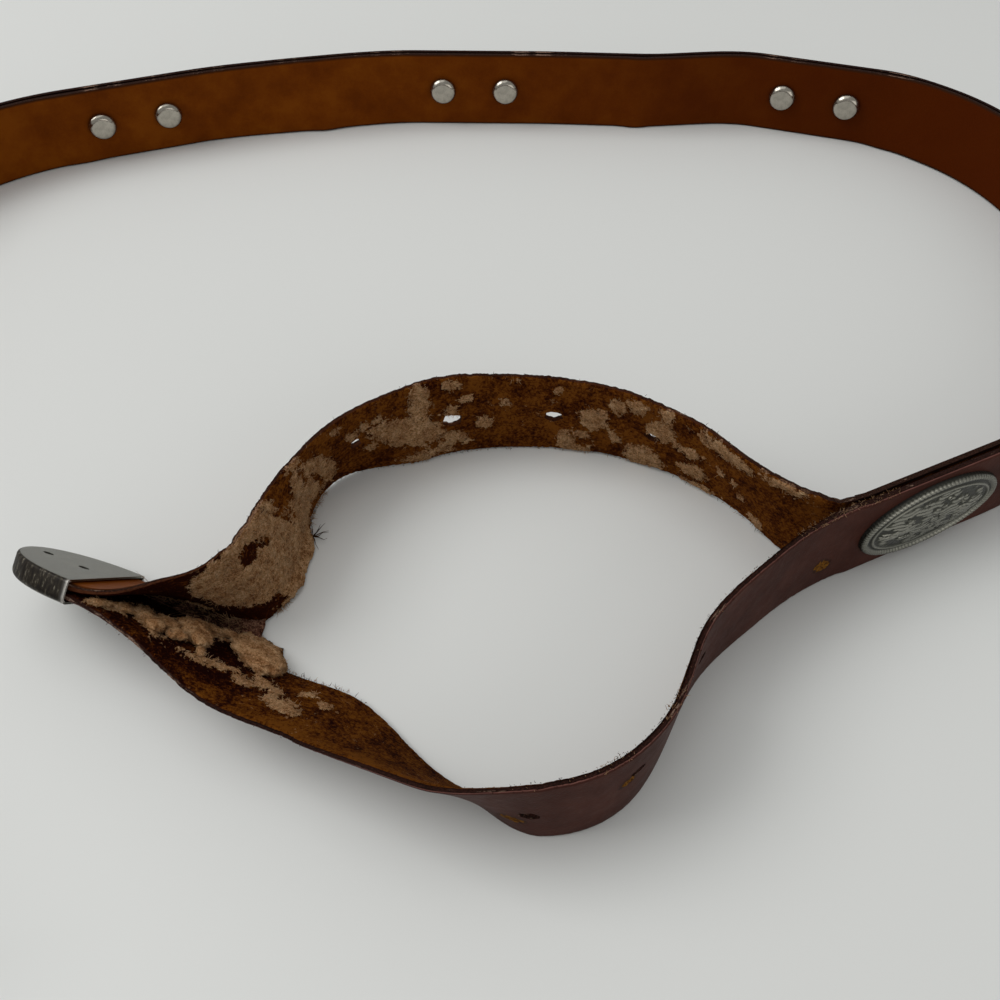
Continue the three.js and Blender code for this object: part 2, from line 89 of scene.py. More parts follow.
class Recipe:
    # one material and the nodes it is made of
    def __init__(self, name):
        self.material = bpy.data.materials.new(name)
        self.material.use_nodes = True
        self.tree = self.material.node_tree
        self.tree.nodes.clear()

    def node(self, kind, settings=None, sockets=None, output=0):
        made = self.tree.nodes.new(kind)
        for key, value in (settings or {}).items():
            if key == "stops":
                self.setStops(made.color_ramp, value)
            else:
                setattr(made, key, value)
        for key, value in (sockets or {}).items():
            if isinstance(value, Val):
                self.tree.links.new(value.socket, made.inputs[key])
            elif made.inputs[key].type == "RGBA":
                made.inputs[key].default_value = (*value, 1)
            else:
                made.inputs[key].default_value = value
        return Val(self, made.outputs[output]) if made.outputs else made

    def setStops(self, ramp, stops):
        while len(ramp.elements) < len(stops):
            ramp.elements.new(0.5)
        for element, (place, colour) in zip(ramp.elements, stops):
            element.position = place
            element.color = (*colour, 1)

    def blend(self, factor, first, second):
        settings = {"data_type": "RGBA"}
        return self.node("ShaderNodeMix", settings, {0: factor, 6: first, 7: second}, 2)

    def ramp(self, factor, stops):
        return self.node("ShaderNodeValToRGB", {"stops": stops}, {"Fac": factor})

    def grain(self, where, scale, detail=4.0, roughness=0.55, distortion=0.0):
        sockets = {"Vector": where, "Scale": scale, "Detail": detail,
                   "Roughness": roughness, "Distortion": distortion}
        return self.node("ShaderNodeTexNoise", {}, sockets)

    def cells(self, where, scale):
        return self.node("ShaderNodeTexVoronoi", {}, {"Vector": where, "Scale": scale})

    def stretch(self, where, scale):
        return self.node("ShaderNodeVectorMath", {"operation": "MULTIPLY"}, {0: where, 1: scale})

    def attribute(self, name):
        return self.node("ShaderNodeAttribute", {"attribute_name": name}, {}, 2)

    def bump(self, height, distance, strength=1.0):
        sockets = {"Strength": strength, "Distance": distance, "Height": height}
        return self.node("ShaderNodeBump", {}, sockets)

    def close(self, sockets):
        shader = self.node("ShaderNodeBsdfPrincipled", {}, sockets)
        self.node("ShaderNodeOutputMaterial", {}, {"Surface": shader})
        return self.material


# the route of the belt, in the same rows as the solids

belt = {
    "width": 25.4, "outer": 1.8, "lining": 1.8, "gap": 0.3, "clearance": 0.3,
    "layLength": 400, "layDepth": 280, "originX": 13.43, "originY": -128.64,
    "conchoStraight": 39, "buckleDrop": 4.3, "turnBack": 26, "barWidth": 4,
    "tipGrip": 7, "tipLean": 40, "tipThickness": 5.5, "tipWidth": 26.4, "trimmed": 23.4,
    "firstHole": 80.5, "holePitch": 25.4, "uprightEase": 5.0,
}

# across and away are shares of the lay, heading and lean are degrees, lift is a share of the drop
joinedRoute = [
    dict(across=-0.360, away=0.020, heading=128, lean=0, lift=1, concho=False),
    dict(across=-0.440, away=0.186, heading=114, lean=0, lift=0.4, concho=True),
    dict(across=-0.493, away=0.600, heading=86, lean=0, lift=0, concho=True),
    dict(across=-0.316, away=0.908, heading=19, lean=-3, lift=0, concho=True),
    dict(across=-0.155, away=0.963, heading=11, lean=2, lift=0, concho=False),
    dict(across=-0.023, away=0.978, heading=-1, lean=0, lift=0, concho=True),
    dict(across=0.125, away=0.970, heading=-2, lean=0, lift=0, concho=False),
    dict(across=0.278, away=0.950, heading=-17, lean=0, lift=0, concho=True),
    dict(across=0.370, away=0.880, heading=-42, lean=5, lift=0, concho=False),
    dict(across=0.425, away=0.600, heading=-93, lean=2, lift=0, concho=True),
    dict(across=0.246, away=0.282, heading=-155, lean=0, lift=0, concho=True),
    dict(across=0.196, away=0.250, heading=-156, lean=0, lift=0, concho=False),
]
outerRoute = [
    dict(across=0.145, away=0.203, heading=-139, lean=0),
    dict(across=0.099, away=0.138, heading=-123, lean=1),
    dict(across=0.078, away=0.082, heading=-119, lean=4),
    dict(across=0.055, away=0.041, heading=-145, lean=1),
    dict(across=0.020, away=0.026, heading=-182, lean=2),
    dict(across=-0.016, away=0.054, heading=-204, lean=25),
    dict(across=-0.071, away=0.122, heading=-217, lean=50),
    dict(across=-0.128, away=0.161, heading=-220, lean=49),
]
liningRoute = [
    dict(across=0.190, away=0.249, heading=-166, lean=1),
    dict(across=0.175, away=0.259, heading=-215, lean=5),
    dict(across=0.149, away=0.305, heading=-230, lean=14),
    dict(across=0.115, away=0.349, heading=-213, lean=10),
    dict(across=0.065, away=0.381, heading=-195, lean=5),
    dict(across=0.013, away=0.389, heading=-180, lean=1),
    dict(across=-0.044, away=0.375, heading=-157, lean=-4),
    dict(across=-0.104, away=0.344, heading=-133, lean=12),
    dict(across=-0.120, away=0.222, heading=-107, lean=-13),
    dict(across=-0.129, away=0.200, heading=-122, lean=-12),
    dict(across=-0.149, away=0.196, heading=-177, lean=2),
    dict(across=-0.170, away=0.208, heading=-204, lean=26),
]
tipMouth = dict(across=-0.208, away=0.226, heading=-204, lean=40)

halfPair = max(belt["outer"], belt["lining"]) + belt["gap"] / 2
outerAt = belt["gap"] / 2 + belt["outer"] / 2
liningAt = -(belt["gap"] / 2 + belt["lining"] / 2)


def placeRow(row, lift=0.0):
    rise = row.get("lift", 0) * belt["buckleDrop"] + lift
    return dict(
        x=row["across"] * belt["layLength"], y=row["away"] * belt["layDepth"],
        heading=math.radians(row["heading"]), lean=math.radians(row["lean"]),
        rise=rise, width=belt["width"],
    )


def straightRows(row, length, before=0.5):
    start, end = dict(row), dict(row)
    for end_, share in ((start, -before), (end, 1 - before)):
        end_["x"] += math.cos(row["heading"]) * length * share
        end_["y"] += math.sin(row["heading"]) * length * share
    return [start, end]


def traceRows(rows, step):
    # points along smooth curves through the rows: x, y, heading, lean, rise, width
    points = []
    for a, b in zip(rows, rows[1:]):
        chord = math.hypot(b["x"] - a["x"], b["y"] - a["y"])
        gap = b["heading"] - a["heading"]
        turn = math.atan2(math.sin(gap), math.cos(gap))
        reach = chord / (3 * math.cos(turn / 4) ** 2)
        ends = [
            (a["x"], a["y"]),
            (a["x"] + math.cos(a["heading"]) * reach, a["y"] + math.sin(a["heading"]) * reach),
            (b["x"] - math.cos(b["heading"]) * reach, b["y"] - math.sin(b["heading"]) * reach),
            (b["x"], b["y"]),
        ]
        count = max(1, math.ceil(chord / step))
        for k in range(count):
            t = k / count
            u = 1 - t
            weights = (u ** 3, 3 * u * u * t, 3 * u * t * t, t ** 3)
            slopes = (-u * u, u * u - 2 * u * t, 2 * u * t - t * t, t * t)
            x, y = (sum(w * e[i] for w, e in zip(weights, ends)) for i in (0, 1))
            dx, dy = (sum(w * e[i] for w, e in zip(slopes, ends)) for i in (0, 1))
            ease = t * t * (3 - 2 * t)
            held = [a[key] + (b[key] - a[key]) * ease for key in ("lean", "rise", "width")]
            points.append((x, y, math.atan2(dy, dx), *held))
    last = rows[-1]
    points.append((last["x"], last["y"], last["heading"], last["lean"], last["rise"], last["width"]))
    return np.array(points)


def unit(vectors):
    return vectors / np.linalg.norm(vectors, axis=1, keepdims=True)


def makeStations(points):
    x, y, heading, lean, rise, width = points.T
    feet = np.stack([x, y, rise + halfPair * np.abs(np.sin(lean))], axis=1)
    ahead = np.vstack([feet[1:], feet[-1:]])
    behind = np.vstack([feet[:1], feet[:-1]])
    along = unit(ahead - behind)
    smooth = np.stack([-np.sin(heading), np.cos(heading), 0 * heading], axis=1)
    up = smooth * np.sin(lean)[:, None]
    up[:, 2] += np.cos(lean)
    up = unit(up - along * np.sum(up * along, axis=1, keepdims=True))
    feetSteps = np.linalg.norm(np.diff(feet, axis=0), axis=1)
    up = easeUpright(up, np.concatenate([[0], np.cumsum(feetSteps)]))
    out = unit(np.cross(up, along))
    middle = feet + up * belt["width"] / 2
    steps = np.linalg.norm(np.diff(middle, axis=0), axis=1)
    travelled = np.concatenate([[0], np.cumsum(steps)])
    middle = middle + np.array([belt["originX"], belt["originY"], 0])
    return dict(middle=middle, along=along, up=up, out=out, width=width, travelled=travelled)


def stationAt(stations, distance):
    i = int(np.searchsorted(stations["travelled"], distance)) - 1
    i = max(0, min(i, len(stations["travelled"]) - 2))
    span = stations["travelled"][i + 1] - stations["travelled"][i]
    t = (distance - stations["travelled"][i]) / span
    found = {}
    for key in ("middle", "along", "up", "out"):
        found[key] = stations[key][i] * (1 - t) + stations[key][i + 1] * t
    return found


def easeUpright(up, where):
    # evens out the way up over some millimetres, so that the long edges stay smooth in the tight bends
    eased = up.copy()
    for i in range(joinCount, len(up)):
        near = np.abs(where - where[i]) < belt["uprightEase"] * 2.5
        weight = np.exp(-((where[near] - where[i]) / belt["uprightEase"]) ** 2)
        free = min(1.0, (where[i] - where[joinCount]) / 12, (where[-1] - belt["tipGrip"] - where[i]) / 12)
        if free > 0:
            smooth = (up[near] * weight[:, None]).sum(axis=0) / weight.sum()
            eased[i] += (smooth - up[i]) * free
    return unit(eased)


lean = math.radians(belt["tipLean"])
mouthLift = (belt["tipThickness"] / 2 - halfPair) * math.sin(lean)
mouthLift += (belt["tipWidth"] - belt["width"]) / 2 * math.cos(lean)
mouth = placeRow(tipMouth, mouthLift)
mouth["width"] = belt["trimmed"]
tipEnd = straightRows(mouth, belt["tipGrip"], 0)[1]
joinedRows = []
for row in joinedRoute:
    placed = placeRow(row)
    joinedRows += straightRows(placed, belt["conchoStraight"]) if row["concho"] else [placed]

joinedPoints = traceRows(joinedRows, 3.0)
joinCount = len(joinedPoints) - 1
routes = {}
for ply, route in (("outer", outerRoute), ("lining", liningRoute)):
    rows = [joinedRows[-1], *[placeRow(row) for row in route], mouth, tipEnd]
    points = np.vstack([joinedPoints[:-1], traceRows(rows, 0.45)])
    routes[ply] = makeStations(points)
joinAt = routes["outer"]["travelled"][joinCount]
print("routes:", {ply: round(float(r["travelled"][-1]), 1) for ply, r in routes.items()}, "join", joinAt)


# the two leathers

leather = {
    "faceColumns": 50, "edgeColumns": 4, "corner": 0.5, "foldSteps": 10,
    "edgeWear": 0.3, "joinedWear": 0.07, "floor": 0.02,
    "tornHeight": 0.42, "nap": 0.07, "tornRough": 0.16, "tornLoss": 0.3,
}


def ringProfile():
    # once round the section: side -1..1 through the thickness, edge -1..1 up the width, and its face
    profile = []
    for k in range(leather["edgeColumns"]):
        profile.append((-1 + 2 * k / leather["edgeColumns"], -1, "edge"))
    for k in range(leather["faceColumns"]):
        profile.append((1, -1 + 2 * k / leather["faceColumns"], "front"))
    for k in range(leather["edgeColumns"]):
        profile.append((1 - 2 * k / leather["edgeColumns"], 1, "edge"))
    for k in range(leather["faceColumns"]):
        profile.append((-1, 1 - 2 * k / leather["faceColumns"], "back"))
    return profile


def stack(parts, key):
    return np.concatenate([part[key] for part in parts])


def foldStations(stations):
    # the end of the outer leather turned back round the buckle's bar
    radius = belt["outer"] / 2 + belt["clearance"] + belt["lining"] / 2
    picked = np.where(stations["travelled"] < belt["turnBack"])[0][::-1]
    flap = {key: stations[key][picked] for key in ("middle", "up", "out", "width", "travelled")}
    flap["middle"] = flap["middle"] + flap["out"] * (liningAt - radius)
    flap["out"] = -flap["out"]
    flap["travelled"] = -flap["travelled"] - math.pi * radius - 2 * belt["barWidth"]
    middle, up, out = (stations[key][0] for key in ("middle", "up", "out"))
    along = stations["along"][0]
    centre = middle + out * liningAt - along * (belt["barWidth"] + belt["clearance"])
    fold = {"middle": [], "up": [], "out": [], "width": [], "travelled": []}
    for k in range(leather["foldSteps"] + 1):
        angle = math.pi * (1 - k / leather["foldSteps"])
        way = out * math.cos(angle) - along * math.sin(angle)
        fold["middle"].append(centre + way * radius)
        fold["up"].append(up)
        fold["out"].append(way)
        fold["width"].append(belt["width"])
        fold["travelled"].append(-angle * radius - belt["barWidth"])
    return [flap, {key: np.array(value) for key, value in fold.items()}]


def makeStrap(name, stations, thickness, offset, before, shapeFace, holes, materials):
    profile = ringProfile()
    side = np.array([p[0] for p in profile])
    edge = np.array([p[1] for p in profile])
    main = {key: stations[key] for key in ("up", "out", "width", "travelled")}
    main["middle"] = stations["middle"] + stations["out"] * offset
    parts = [*before, main]
    middle, up, out, width, travelled = (
        stack(parts, key) for key in ("middle", "up", "out", "width", "travelled"))
    rings, columns = len(middle), len(profile)
    s = np.repeat((travelled - joinAt)[:, None], columns, axis=1)
    t = np.repeat(((edge + 1) / 2 * belt["width"])[None, :], rings, axis=0)
    sides = np.repeat(side[None, :], rings, axis=0)
    edges = np.repeat(edge[None, :], rings, axis=0)
    depth, rise, marks = shapeFace(s, t, sides, thickness)
    # rounded corners: the faces draw in a little at the edges
    corner = np.clip(1 - (1 - np.abs(edges)) * width[:, None] / 2 / leather["corner"], 0, 1)
    rounded = np.sqrt(np.clip(1 - corner ** 2, 0, 1)) * 0.35 + 0.65
    through = sides * thickness / 2 * rounded + depth
    height = edges * width[:, None] / 2 + rise
    place = middle[:, None, :] + out[:, None, :] * through[..., None] + up[:, None, :] * height[..., None]
    place[..., 2] = np.maximum(place[..., 2], leather["floor"])
    start = sum(len(part["middle"]) for part in before)

    index = np.arange(rings * columns).reshape(rings, columns)
    nextColumn = np.roll(index, -1, axis=1)
    quads = np.stack([index[:-1], nextColumn[:-1], nextColumn[1:], index[1:]], axis=-1)
    kinds = np.array([["front", "back", "edge"].index(p[2]) for p in profile])
    keep = np.ones((rings - 1, columns), dtype=bool)
    walls = []
    for hole in holes:
        walls += cutHole(hole, keep, place, s, t, kinds, index, up, start)
    faces = quads[keep].tolist()
    slots = np.repeat(kinds[None, :], rings - 1, axis=0)[keep].tolist()
    faces += walls
    slots += [2] * len(walls)
    faces.append(index[0][::-1].tolist())
    faces.append(index[-1].tolist())
    slots += [2, 2]

    mesh = bpy.data.meshes.new(name)
    mesh.from_pydata((place.reshape(-1, 3) * mm).tolist(), [], faces)
    for material in materials:
        mesh.materials.append(material)
    mesh.polygons.foreach_set("material_index", slots)
    mesh.polygons.foreach_set("use_smooth", [True] * len(faces))
    for key, values in {"along": s, "height": t, "through": sides, **marks}.items():
        layer = mesh.attributes.new(key, "FLOAT", "POINT")
        layer.data.foreach_set("value", values.astype(np.float32).reshape(-1))
    mesh.update()
    mesh.set_sharp_from_angle(angle=math.radians(50))
    strap = bpy.data.objects.new(name, mesh)
    bpy.context.collection.objects.link(strap)
    return strap


def cutHole(hole, keep, place, s, t, kinds, index, up, start):
    # takes the cells inside a hole out of both faces, rounds its rim and returns the wall's faces
    columns = kinds.size
    front = np.where(kinds == 0)[0]
    back = np.where(kinds == 1)[0]
    rings = place.shape[0]
    centreS = (s[:-1] + s[1:]) / 2
    nextT = np.roll(t, -1, axis=1)
    centreT = (t[:-1] + nextT[:-1]) / 2
    radial = np.hypot((centreS - hole["s"]) / hole["long"], (centreT - hole["t"]) / hole["tall"])
    gone = radial < 0.5
    gone[:start] = False
    walls = []
    lookup = {}
    for face in (front, back):
        picked = np.zeros_like(gone)
        picked[:, face] = gone[:, face]
        keep[picked] = False
        for i, k in zip(*np.where(picked)):
            for (a, b), (ni, nk) in (
                (((i, k), (i, k + 1)), (i - 1, k)),
                (((i, k + 1), (i + 1, k + 1)), (i, k + 1)),
                (((i + 1, k + 1), (i + 1, k)), (i + 1, k)),
                (((i + 1, k), (i, k)), (i, k - 1)),
            ):
                if not picked[ni, nk]:
                    lookup[(a, b)] = face is front
    rim = {point for pair in lookup for point in pair}
    for i, k in rim:
        k = k % columns
        ds, dt = s[i, k] - hole["s"], t[i, k] - hole["t"]
        angle = math.atan2(dt / hole["tall"], ds / hole["long"])
        spot = Vector((math.cos(angle) * 2, math.sin(angle) * 2, hole["s"]))
        ragged = 1 + hole["ragged"] * noise.noise(spot)
        newS = hole["s"] + math.cos(angle) * hole["long"] / 2 * ragged
        newT = hole["t"] + math.sin(angle) * hole["tall"] / 2 * ragged
        way = place[min(i + 1, rings - 1), k] - place[i - 1, k]
        way = way / np.linalg.norm(way)
        place[i, k] += way * (newS - s[i, k]) + up[i] * (newT - t[i, k])
    low = front[0]
    high = back[0]
    count = leather["faceColumns"]
    for (a, b), inFront in lookup.items():
        if inFront:
            mirror = [(p[0], high + count - (p[1] - low)) for p in (a, b)]
            quad = [index[b[0], b[1]], index[a[0], a[1]],
                    index[mirror[0][0], mirror[0][1] % columns], index[mirror[1][0], mirror[1][1] % columns]]
            walls.append([int(v) for v in quad])
    return walls


def soft(x, low, high):
    t = np.clip((x - low) / (high - low), 0, 1)
    return t * t * (3 - 2 * t)


def roughAt(s, t, scale, seed):
    # fractal noise over the strap, about -1..1; the far, tidy part of the belt stays 0
    field = np.zeros(s.shape)
    near = s > -12
    field[near] = [noise.fractal(Vector((a / scale, b / scale, seed)), 0.8, 2.0, 4)
                   for a, b in zip(s[near], t[near])]
    return field


def patchField(s, t, patches):
    # millimetres inside the nearest patch, negative outside
    field = np.full(s.shape, -9.0)
    for patch in patches:
        turn = math.radians(patch.get("turn", 0))
        ds, dt = s - patch["s"], t - patch["t"]
        a = ds * math.cos(turn) + dt * math.sin(turn)
        b = dt * math.cos(turn) - ds * math.sin(turn)
        reach = np.hypot(a / patch["long"], b / patch["tall"]) * 2
        field = np.maximum(field, (1 - reach) * min(patch["long"], patch["tall"]) / 2)
    return field


# torn glue layer left on the lining: place along and up the strap, size along and up, and turn
liningTorn = [
    dict(s=112.0, t=19.0, long=6.0, tall=15.0),
    dict(s=115.5, t=11.4, long=21.0, tall=9.5, turn=24),
    dict(s=105.5, t=4.8, long=11.0, tall=7.0),
    dict(s=113.0, t=1.8, long=9.0, tall=3.6),
    dict(s=104.0, t=14.6, long=4.2, tall=3.6),
    dict(s=104.0, t=23.4, long=3.8, tall=4.2),
    dict(s=100.3, t=18.2, long=3.0, tall=2.2),
    dict(s=123.3, t=18.8, long=2.8, tall=2.8),
    dict(s=127.0, t=18.4, long=2.4, tall=2.8),
    dict(s=130.0, t=17.0, long=4.2, tall=3.6),
    dict(s=125.0, t=10.0, long=3.6, tall=3.2),
    dict(s=135.5, t=23.0, long=3.8, tall=2.6),
    dict(s=144.0, t=13.0, long=23.0, tall=12.0, turn=48),
    dict(s=150.2, t=24.6, long=4.5, tall=3.0),
    dict(s=150.5, t=10.0, long=9.0, tall=15.0),
    dict(s=160.0, t=8.0, long=26.0, tall=20.0),
    dict(s=172.0, t=15.5, long=26.0, tall=22.0),
    dict(s=179.0, t=16.5, long=19.0, tall=19.0),
    dict(s=166.0, t=22.0, long=12.0, tall=9.0),
    dict(s=163.0, t=2.0, long=18.0, tall=9.0),
    dict(s=95.5, t=10.0, long=3.8, tall=4.2),
    dict(s=90.3, t=17.0, long=2.6, tall=2.8),
    dict(s=77.2, t=21.6, long=2.6, tall=2.4),
    dict(s=78.4, t=18.2, long=1.8, tall=1.8),
    dict(s=68.2, t=13.4, long=7.0, tall=8.4),
    dict(s=75.4, t=4.2, long=4.4, tall=6.4),
    dict(s=71.2, t=6.8, long=4.6, tall=3.0),
    dict(s=72.4, t=1.0, long=7.6, tall=3.4),
    dict(s=62.4, t=20.0, long=4.4, tall=5.4),
    dict(s=57.8, t=22.0, long=5.4, tall=4.4),
    dict(s=62.4, t=8.0, long=3.4, tall=3.8),
    dict(s=55.0, t=3.6, long=10.5, tall=8.2),
    dict(s=50.8, t=16.4, long=7.6, tall=8.4),
    dict(s=49.6, t=23.6, long=4.4, tall=4.4),
    dict(s=42.7, t=13.4, long=7.4, tall=3.6),
    dict(s=41.6, t=6.4, long=7.6, tall=5.4),
    dict(s=32.5, t=22.6, long=17.0, tall=4.8),
    dict(s=33.6, t=12.6, long=2.2, tall=2.6),
    dict(s=17.0, t=24.2, long=11.0, tall=3.4),
    dict(s=27.2, t=8.6, long=2.0, tall=2.0),
    dict(s=29.6, t=12.0, long=2.2, tall=2.2),
    dict(s=22.5, t=3.0, long=4.6, tall=3.8),
    dict(s=40.4, t=0.6, long=8.6, tall=3.0),
    dict(s=87.9, t=25.0, long=2.0, tall=2.0),
    dict(s=190.0, t=5.0, long=9.0, tall=2.6, turn=12),
    dict(s=197.5, t=3.4, long=7.0, tall=2.0),
    dict(s=203.0, t=1.6, long=6.0, tall=2.4),
]
# bare spots and cracks inside the torn layer
liningBare = [
    dict(s=173.6, t=19.6, long=6.5, tall=5.5),
    dict(s=169.4, t=18.4, long=6.0, tall=1.8, turn=12),
    dict(s=141.0, t=9.5, long=11.0, tall=1.6, turn=62),
    dict(s=147.5, t=17.5, long=7.0, tall=1.5, turn=80),
    dict(s=155.5, t=14.5, long=7.0, tall=1.0, turn=75),
    dict(s=160.0, t=18.0, long=6.0, tall=0.9, turn=60),
    dict(s=109.0, t=4.6, long=4.6, tall=2.6),
    dict(s=103.6, t=2.4, long=4.0, tall=2.4),
    dict(s=181.5, t=2.6, long=15.0, tall=7.5),
    dict(s=175.0, t=3.4, long=9.0, tall=4.0, turn=25),
]
# the thick frayed pad along the lining's foot
liningPads = [
    dict(s=156.0, t=0.0, long=20.0, tall=9.0, high=2.2),
    dict(s=166.0, t=1.0, long=14.0, tall=8.0, high=1.6),
]
# the same layer where it is left on the inside of the outer leather
outerTorn = [
    dict(s=166.0, t=13.0, long=6.5, tall=3.4),
    dict(s=163.2, t=10.0, long=6.5, tall=4.4),
    dict(s=159.2, t=11.2, long=4.4, tall=2.4),
    dict(s=155.6, t=16.2, long=10.0, tall=5.6, turn=-20),
    dict(s=153.6, t=7.4, long=3.4, tall=3.4),
    dict(s=148.8, t=9.8, long=3.6, tall=2.4),
    dict(s=174.4, t=14.5, long=13.0, tall=3.4, turn=39),
    dict(s=184.0, t=4.0, long=9.0, tall=6.0),
    dict(s=192.0, t=15.5, long=15.0, tall=6.5, turn=-35),
    dict(s=199.0, t=21.5, long=8.0, tall=4.0, turn=40),
    dict(s=186.0, t=12.0, long=9.0, tall=7.0),
    dict(s=170.0, t=4.0, long=12.0, tall=7.0),
]
# torn spots on the smooth face of the outer leather
outerSores = [
    dict(s=6.5, t=7.6, long=5.6, tall=4.4, turn=25),
    dict(s=82.4, t=14.4, long=3.6, tall=3.0),
    dict(s=103.4, t=7.8, long=5.0, tall=3.4),
]


def fleshSide(s, t, sides, way, torn, bare, pads, mouthAt):
    # height of the raw face and the residue mark: 1 well inside the torn layer, -1 well outside
    field = patchField(s, t, torn)
    field = np.minimum(field, -patchField(s, t, bare))
    field = field + 1.3 * roughAt(s, t, 2.4, 3.1) + 1.1 * roughAt(s, t, 0.8, 6.3)
    field = np.clip(field / 1.2, -1, 1)
    layer = soft(field, -0.15, 0.5)
    high = leather["nap"] * roughAt(s, t, 0.9, 7.7)
    high = high + layer * (leather["tornHeight"] + leather["tornRough"] * roughAt(s, t, 1.3, 5.2))
    for pad in pads:
        high = high + pad["high"] * soft(patchField(s, t, [pad]), 0, min(pad["long"], pad["tall"]) / 2)
    free = soft(s, 3, 9) * soft(mouthAt - s, -1, 5)
    high = high - leather["tornLoss"] * soft(s, 4, 16)
    onFace = (sides == way).astype(float)
    return high * free * onFace * way, np.where(sides * way > -0.3, field, -1)


def wornEdges(s, t, frayed=None):
    # small tears that move the long edges up and down
    share = np.abs(2 * t / belt["width"] - 1)
    where = soft(share, 0.9, 1.0) * np.sign(t - belt["width"] / 2)
    size = leather["joinedWear"] + (leather["edgeWear"] - leather["joinedWear"]) * soft(s, -4, 6)
    worn = where * size * roughAt(s, np.sign(where), 1.1, 9.3)
    if frayed:
        begin, end, deep = frayed
        foot = soft(s, begin, begin + 6) * soft(end - s, 0, 6) * soft(3.0 - t, 0, 3.0)
        worn = worn + foot * deep * (roughAt(s, t * 0, 2.6, 12.1) + 0.5 * roughAt(s, t * 0, 0.8, 15.4))
    return worn


# places where the lining stands off the outer leather in a low upright fold
liningFolds = [
    dict(s=-536, long=6.0, deep=0.7),
    dict(s=-451, long=4.5, deep=1.0),
    dict(s=-338, long=4.0, deep=1.1),
    dict(s=-249, long=6.5, deep=1.2),
]


def liningFace(s, t, sides, thickness):
    depth, residue = fleshSide(s, t, sides, 1, liningTorn, liningBare, liningPads, mouthAt["lining"])
    foot = 1 - 0.65 * soft(t, 0, belt["width"] * 0.6)
    for fold in liningFolds:
        depth = depth - fold["deep"] * foot * np.exp(-((s - fold["s"]) / fold["long"]) ** 2)
    return depth, wornEdges(s, t, (140, 192, 0.9)), {"residue": residue}


def outerFace(s, t, sides, thickness):
    depth, residue = fleshSide(s, t, sides, -1, outerTorn, [], [], mouthAt["outer"])
    onGrain = (sides == 1).astype(float)
    sore = patchField(s, t, outerSores) + 0.5 * roughAt(s, t, 1.1, 4.4)
    depth = depth + onGrain * 0.3 * soft(sore, -0.4, 0.8) * roughAt(s, t, 0.7, 2.2)
    return depth, wornEdges(s, t), {"residue": np.where(onGrain > 0, np.clip(sore, -1, 1), residue)}


def strapWhere(mat):
    # millimetres along the strap, up its width and through it
    marks = {"X": mat.attribute("along"), "Y": mat.attribute("height"), "Z": mat.attribute("through")}
    return mat.node("ShaderNodeCombineXYZ", {}, marks)


def smoothLeather(look):
    # the finished face: blotches, fine wrinkles, pores, painted shade along one stretch of the strap, and
    # corner lines, on the grain partly wear and partly a painted highlight
    mat = Recipe(look["name"])
    where = strapWhere(mat)
    height = mat.attribute("height")
    cloud = mat.grain(where, 0.06, 4, 0.65)
    fine = mat.grain(where, 1.1, 5, 0.7)
    shade = mat.ramp(cloud * (1 - look["speckle"]) + fine * look["speckle"], look["stops"])
    # painted shade: the face darkened along one stretch of the strap, where it turns from the light
    away = mat.attribute("along").rise(*look["paintedShadeAlong"]) * mat.attribute("along").rise(170, 60)
    shade = mat.blend(away * look["paintedShadeShare"], shade, look["paintedShadeColour"])
    # corner line: on the outer grain a pinkish painted highlight along the rounded top corner, partly real
    # wear; on the lining a darker corner
    corner = (height.rise(belt["width"] - look["cornerWidth"], belt["width"] - 0.1)
              + height.rise(look["cornerWidth"], 0.1) * look["footShare"]).atMost(1)
    scuff = mat.grain(mat.stretch(where, (0.35, 1.4, 1.0)), 0.7, 4, 0.6)
    worn = corner * (scuff * 1.6 + look["cornerWear"]).atMost(1).atLeast(0)
    shade = mat.blend(worn, shade, look["cornerColour"])
    shade = mat.blend((mat.attribute("residue") + (fine - 0.5)).rise(-0.6, 0.0) * 0.6, shade, look["bruise"])
    sore = (mat.attribute("residue") + (fine - 0.5) * 2.0).rise(0.1, 0.45)
    shade = mat.blend(sore * 0.85, shade, mat.ramp(fine, look["soreStops"]))
    wrinkle = mat.grain(mat.stretch(where, (1.0, 0.28, 1.0)), 0.55, 5, 0.62)
    pores = mat.cells(where, 2.4)
    relief = wrinkle * look["wrinkle"] + pores * look["pores"] + sore * fine * 0.8
    bump = mat.bump(relief, 0.0004, 0.5)
    gloss = mat.grain(where, 0.35, 4, 0.6)
    rough = look["roughness"] + (gloss - 0.5) * 0.3 + sore * 0.3 + worn * 0.15
    return mat.close({"Base Color": shade, "Roughness": rough, "Normal": bump,
                      "Specular IOR Level": look["specular"]})


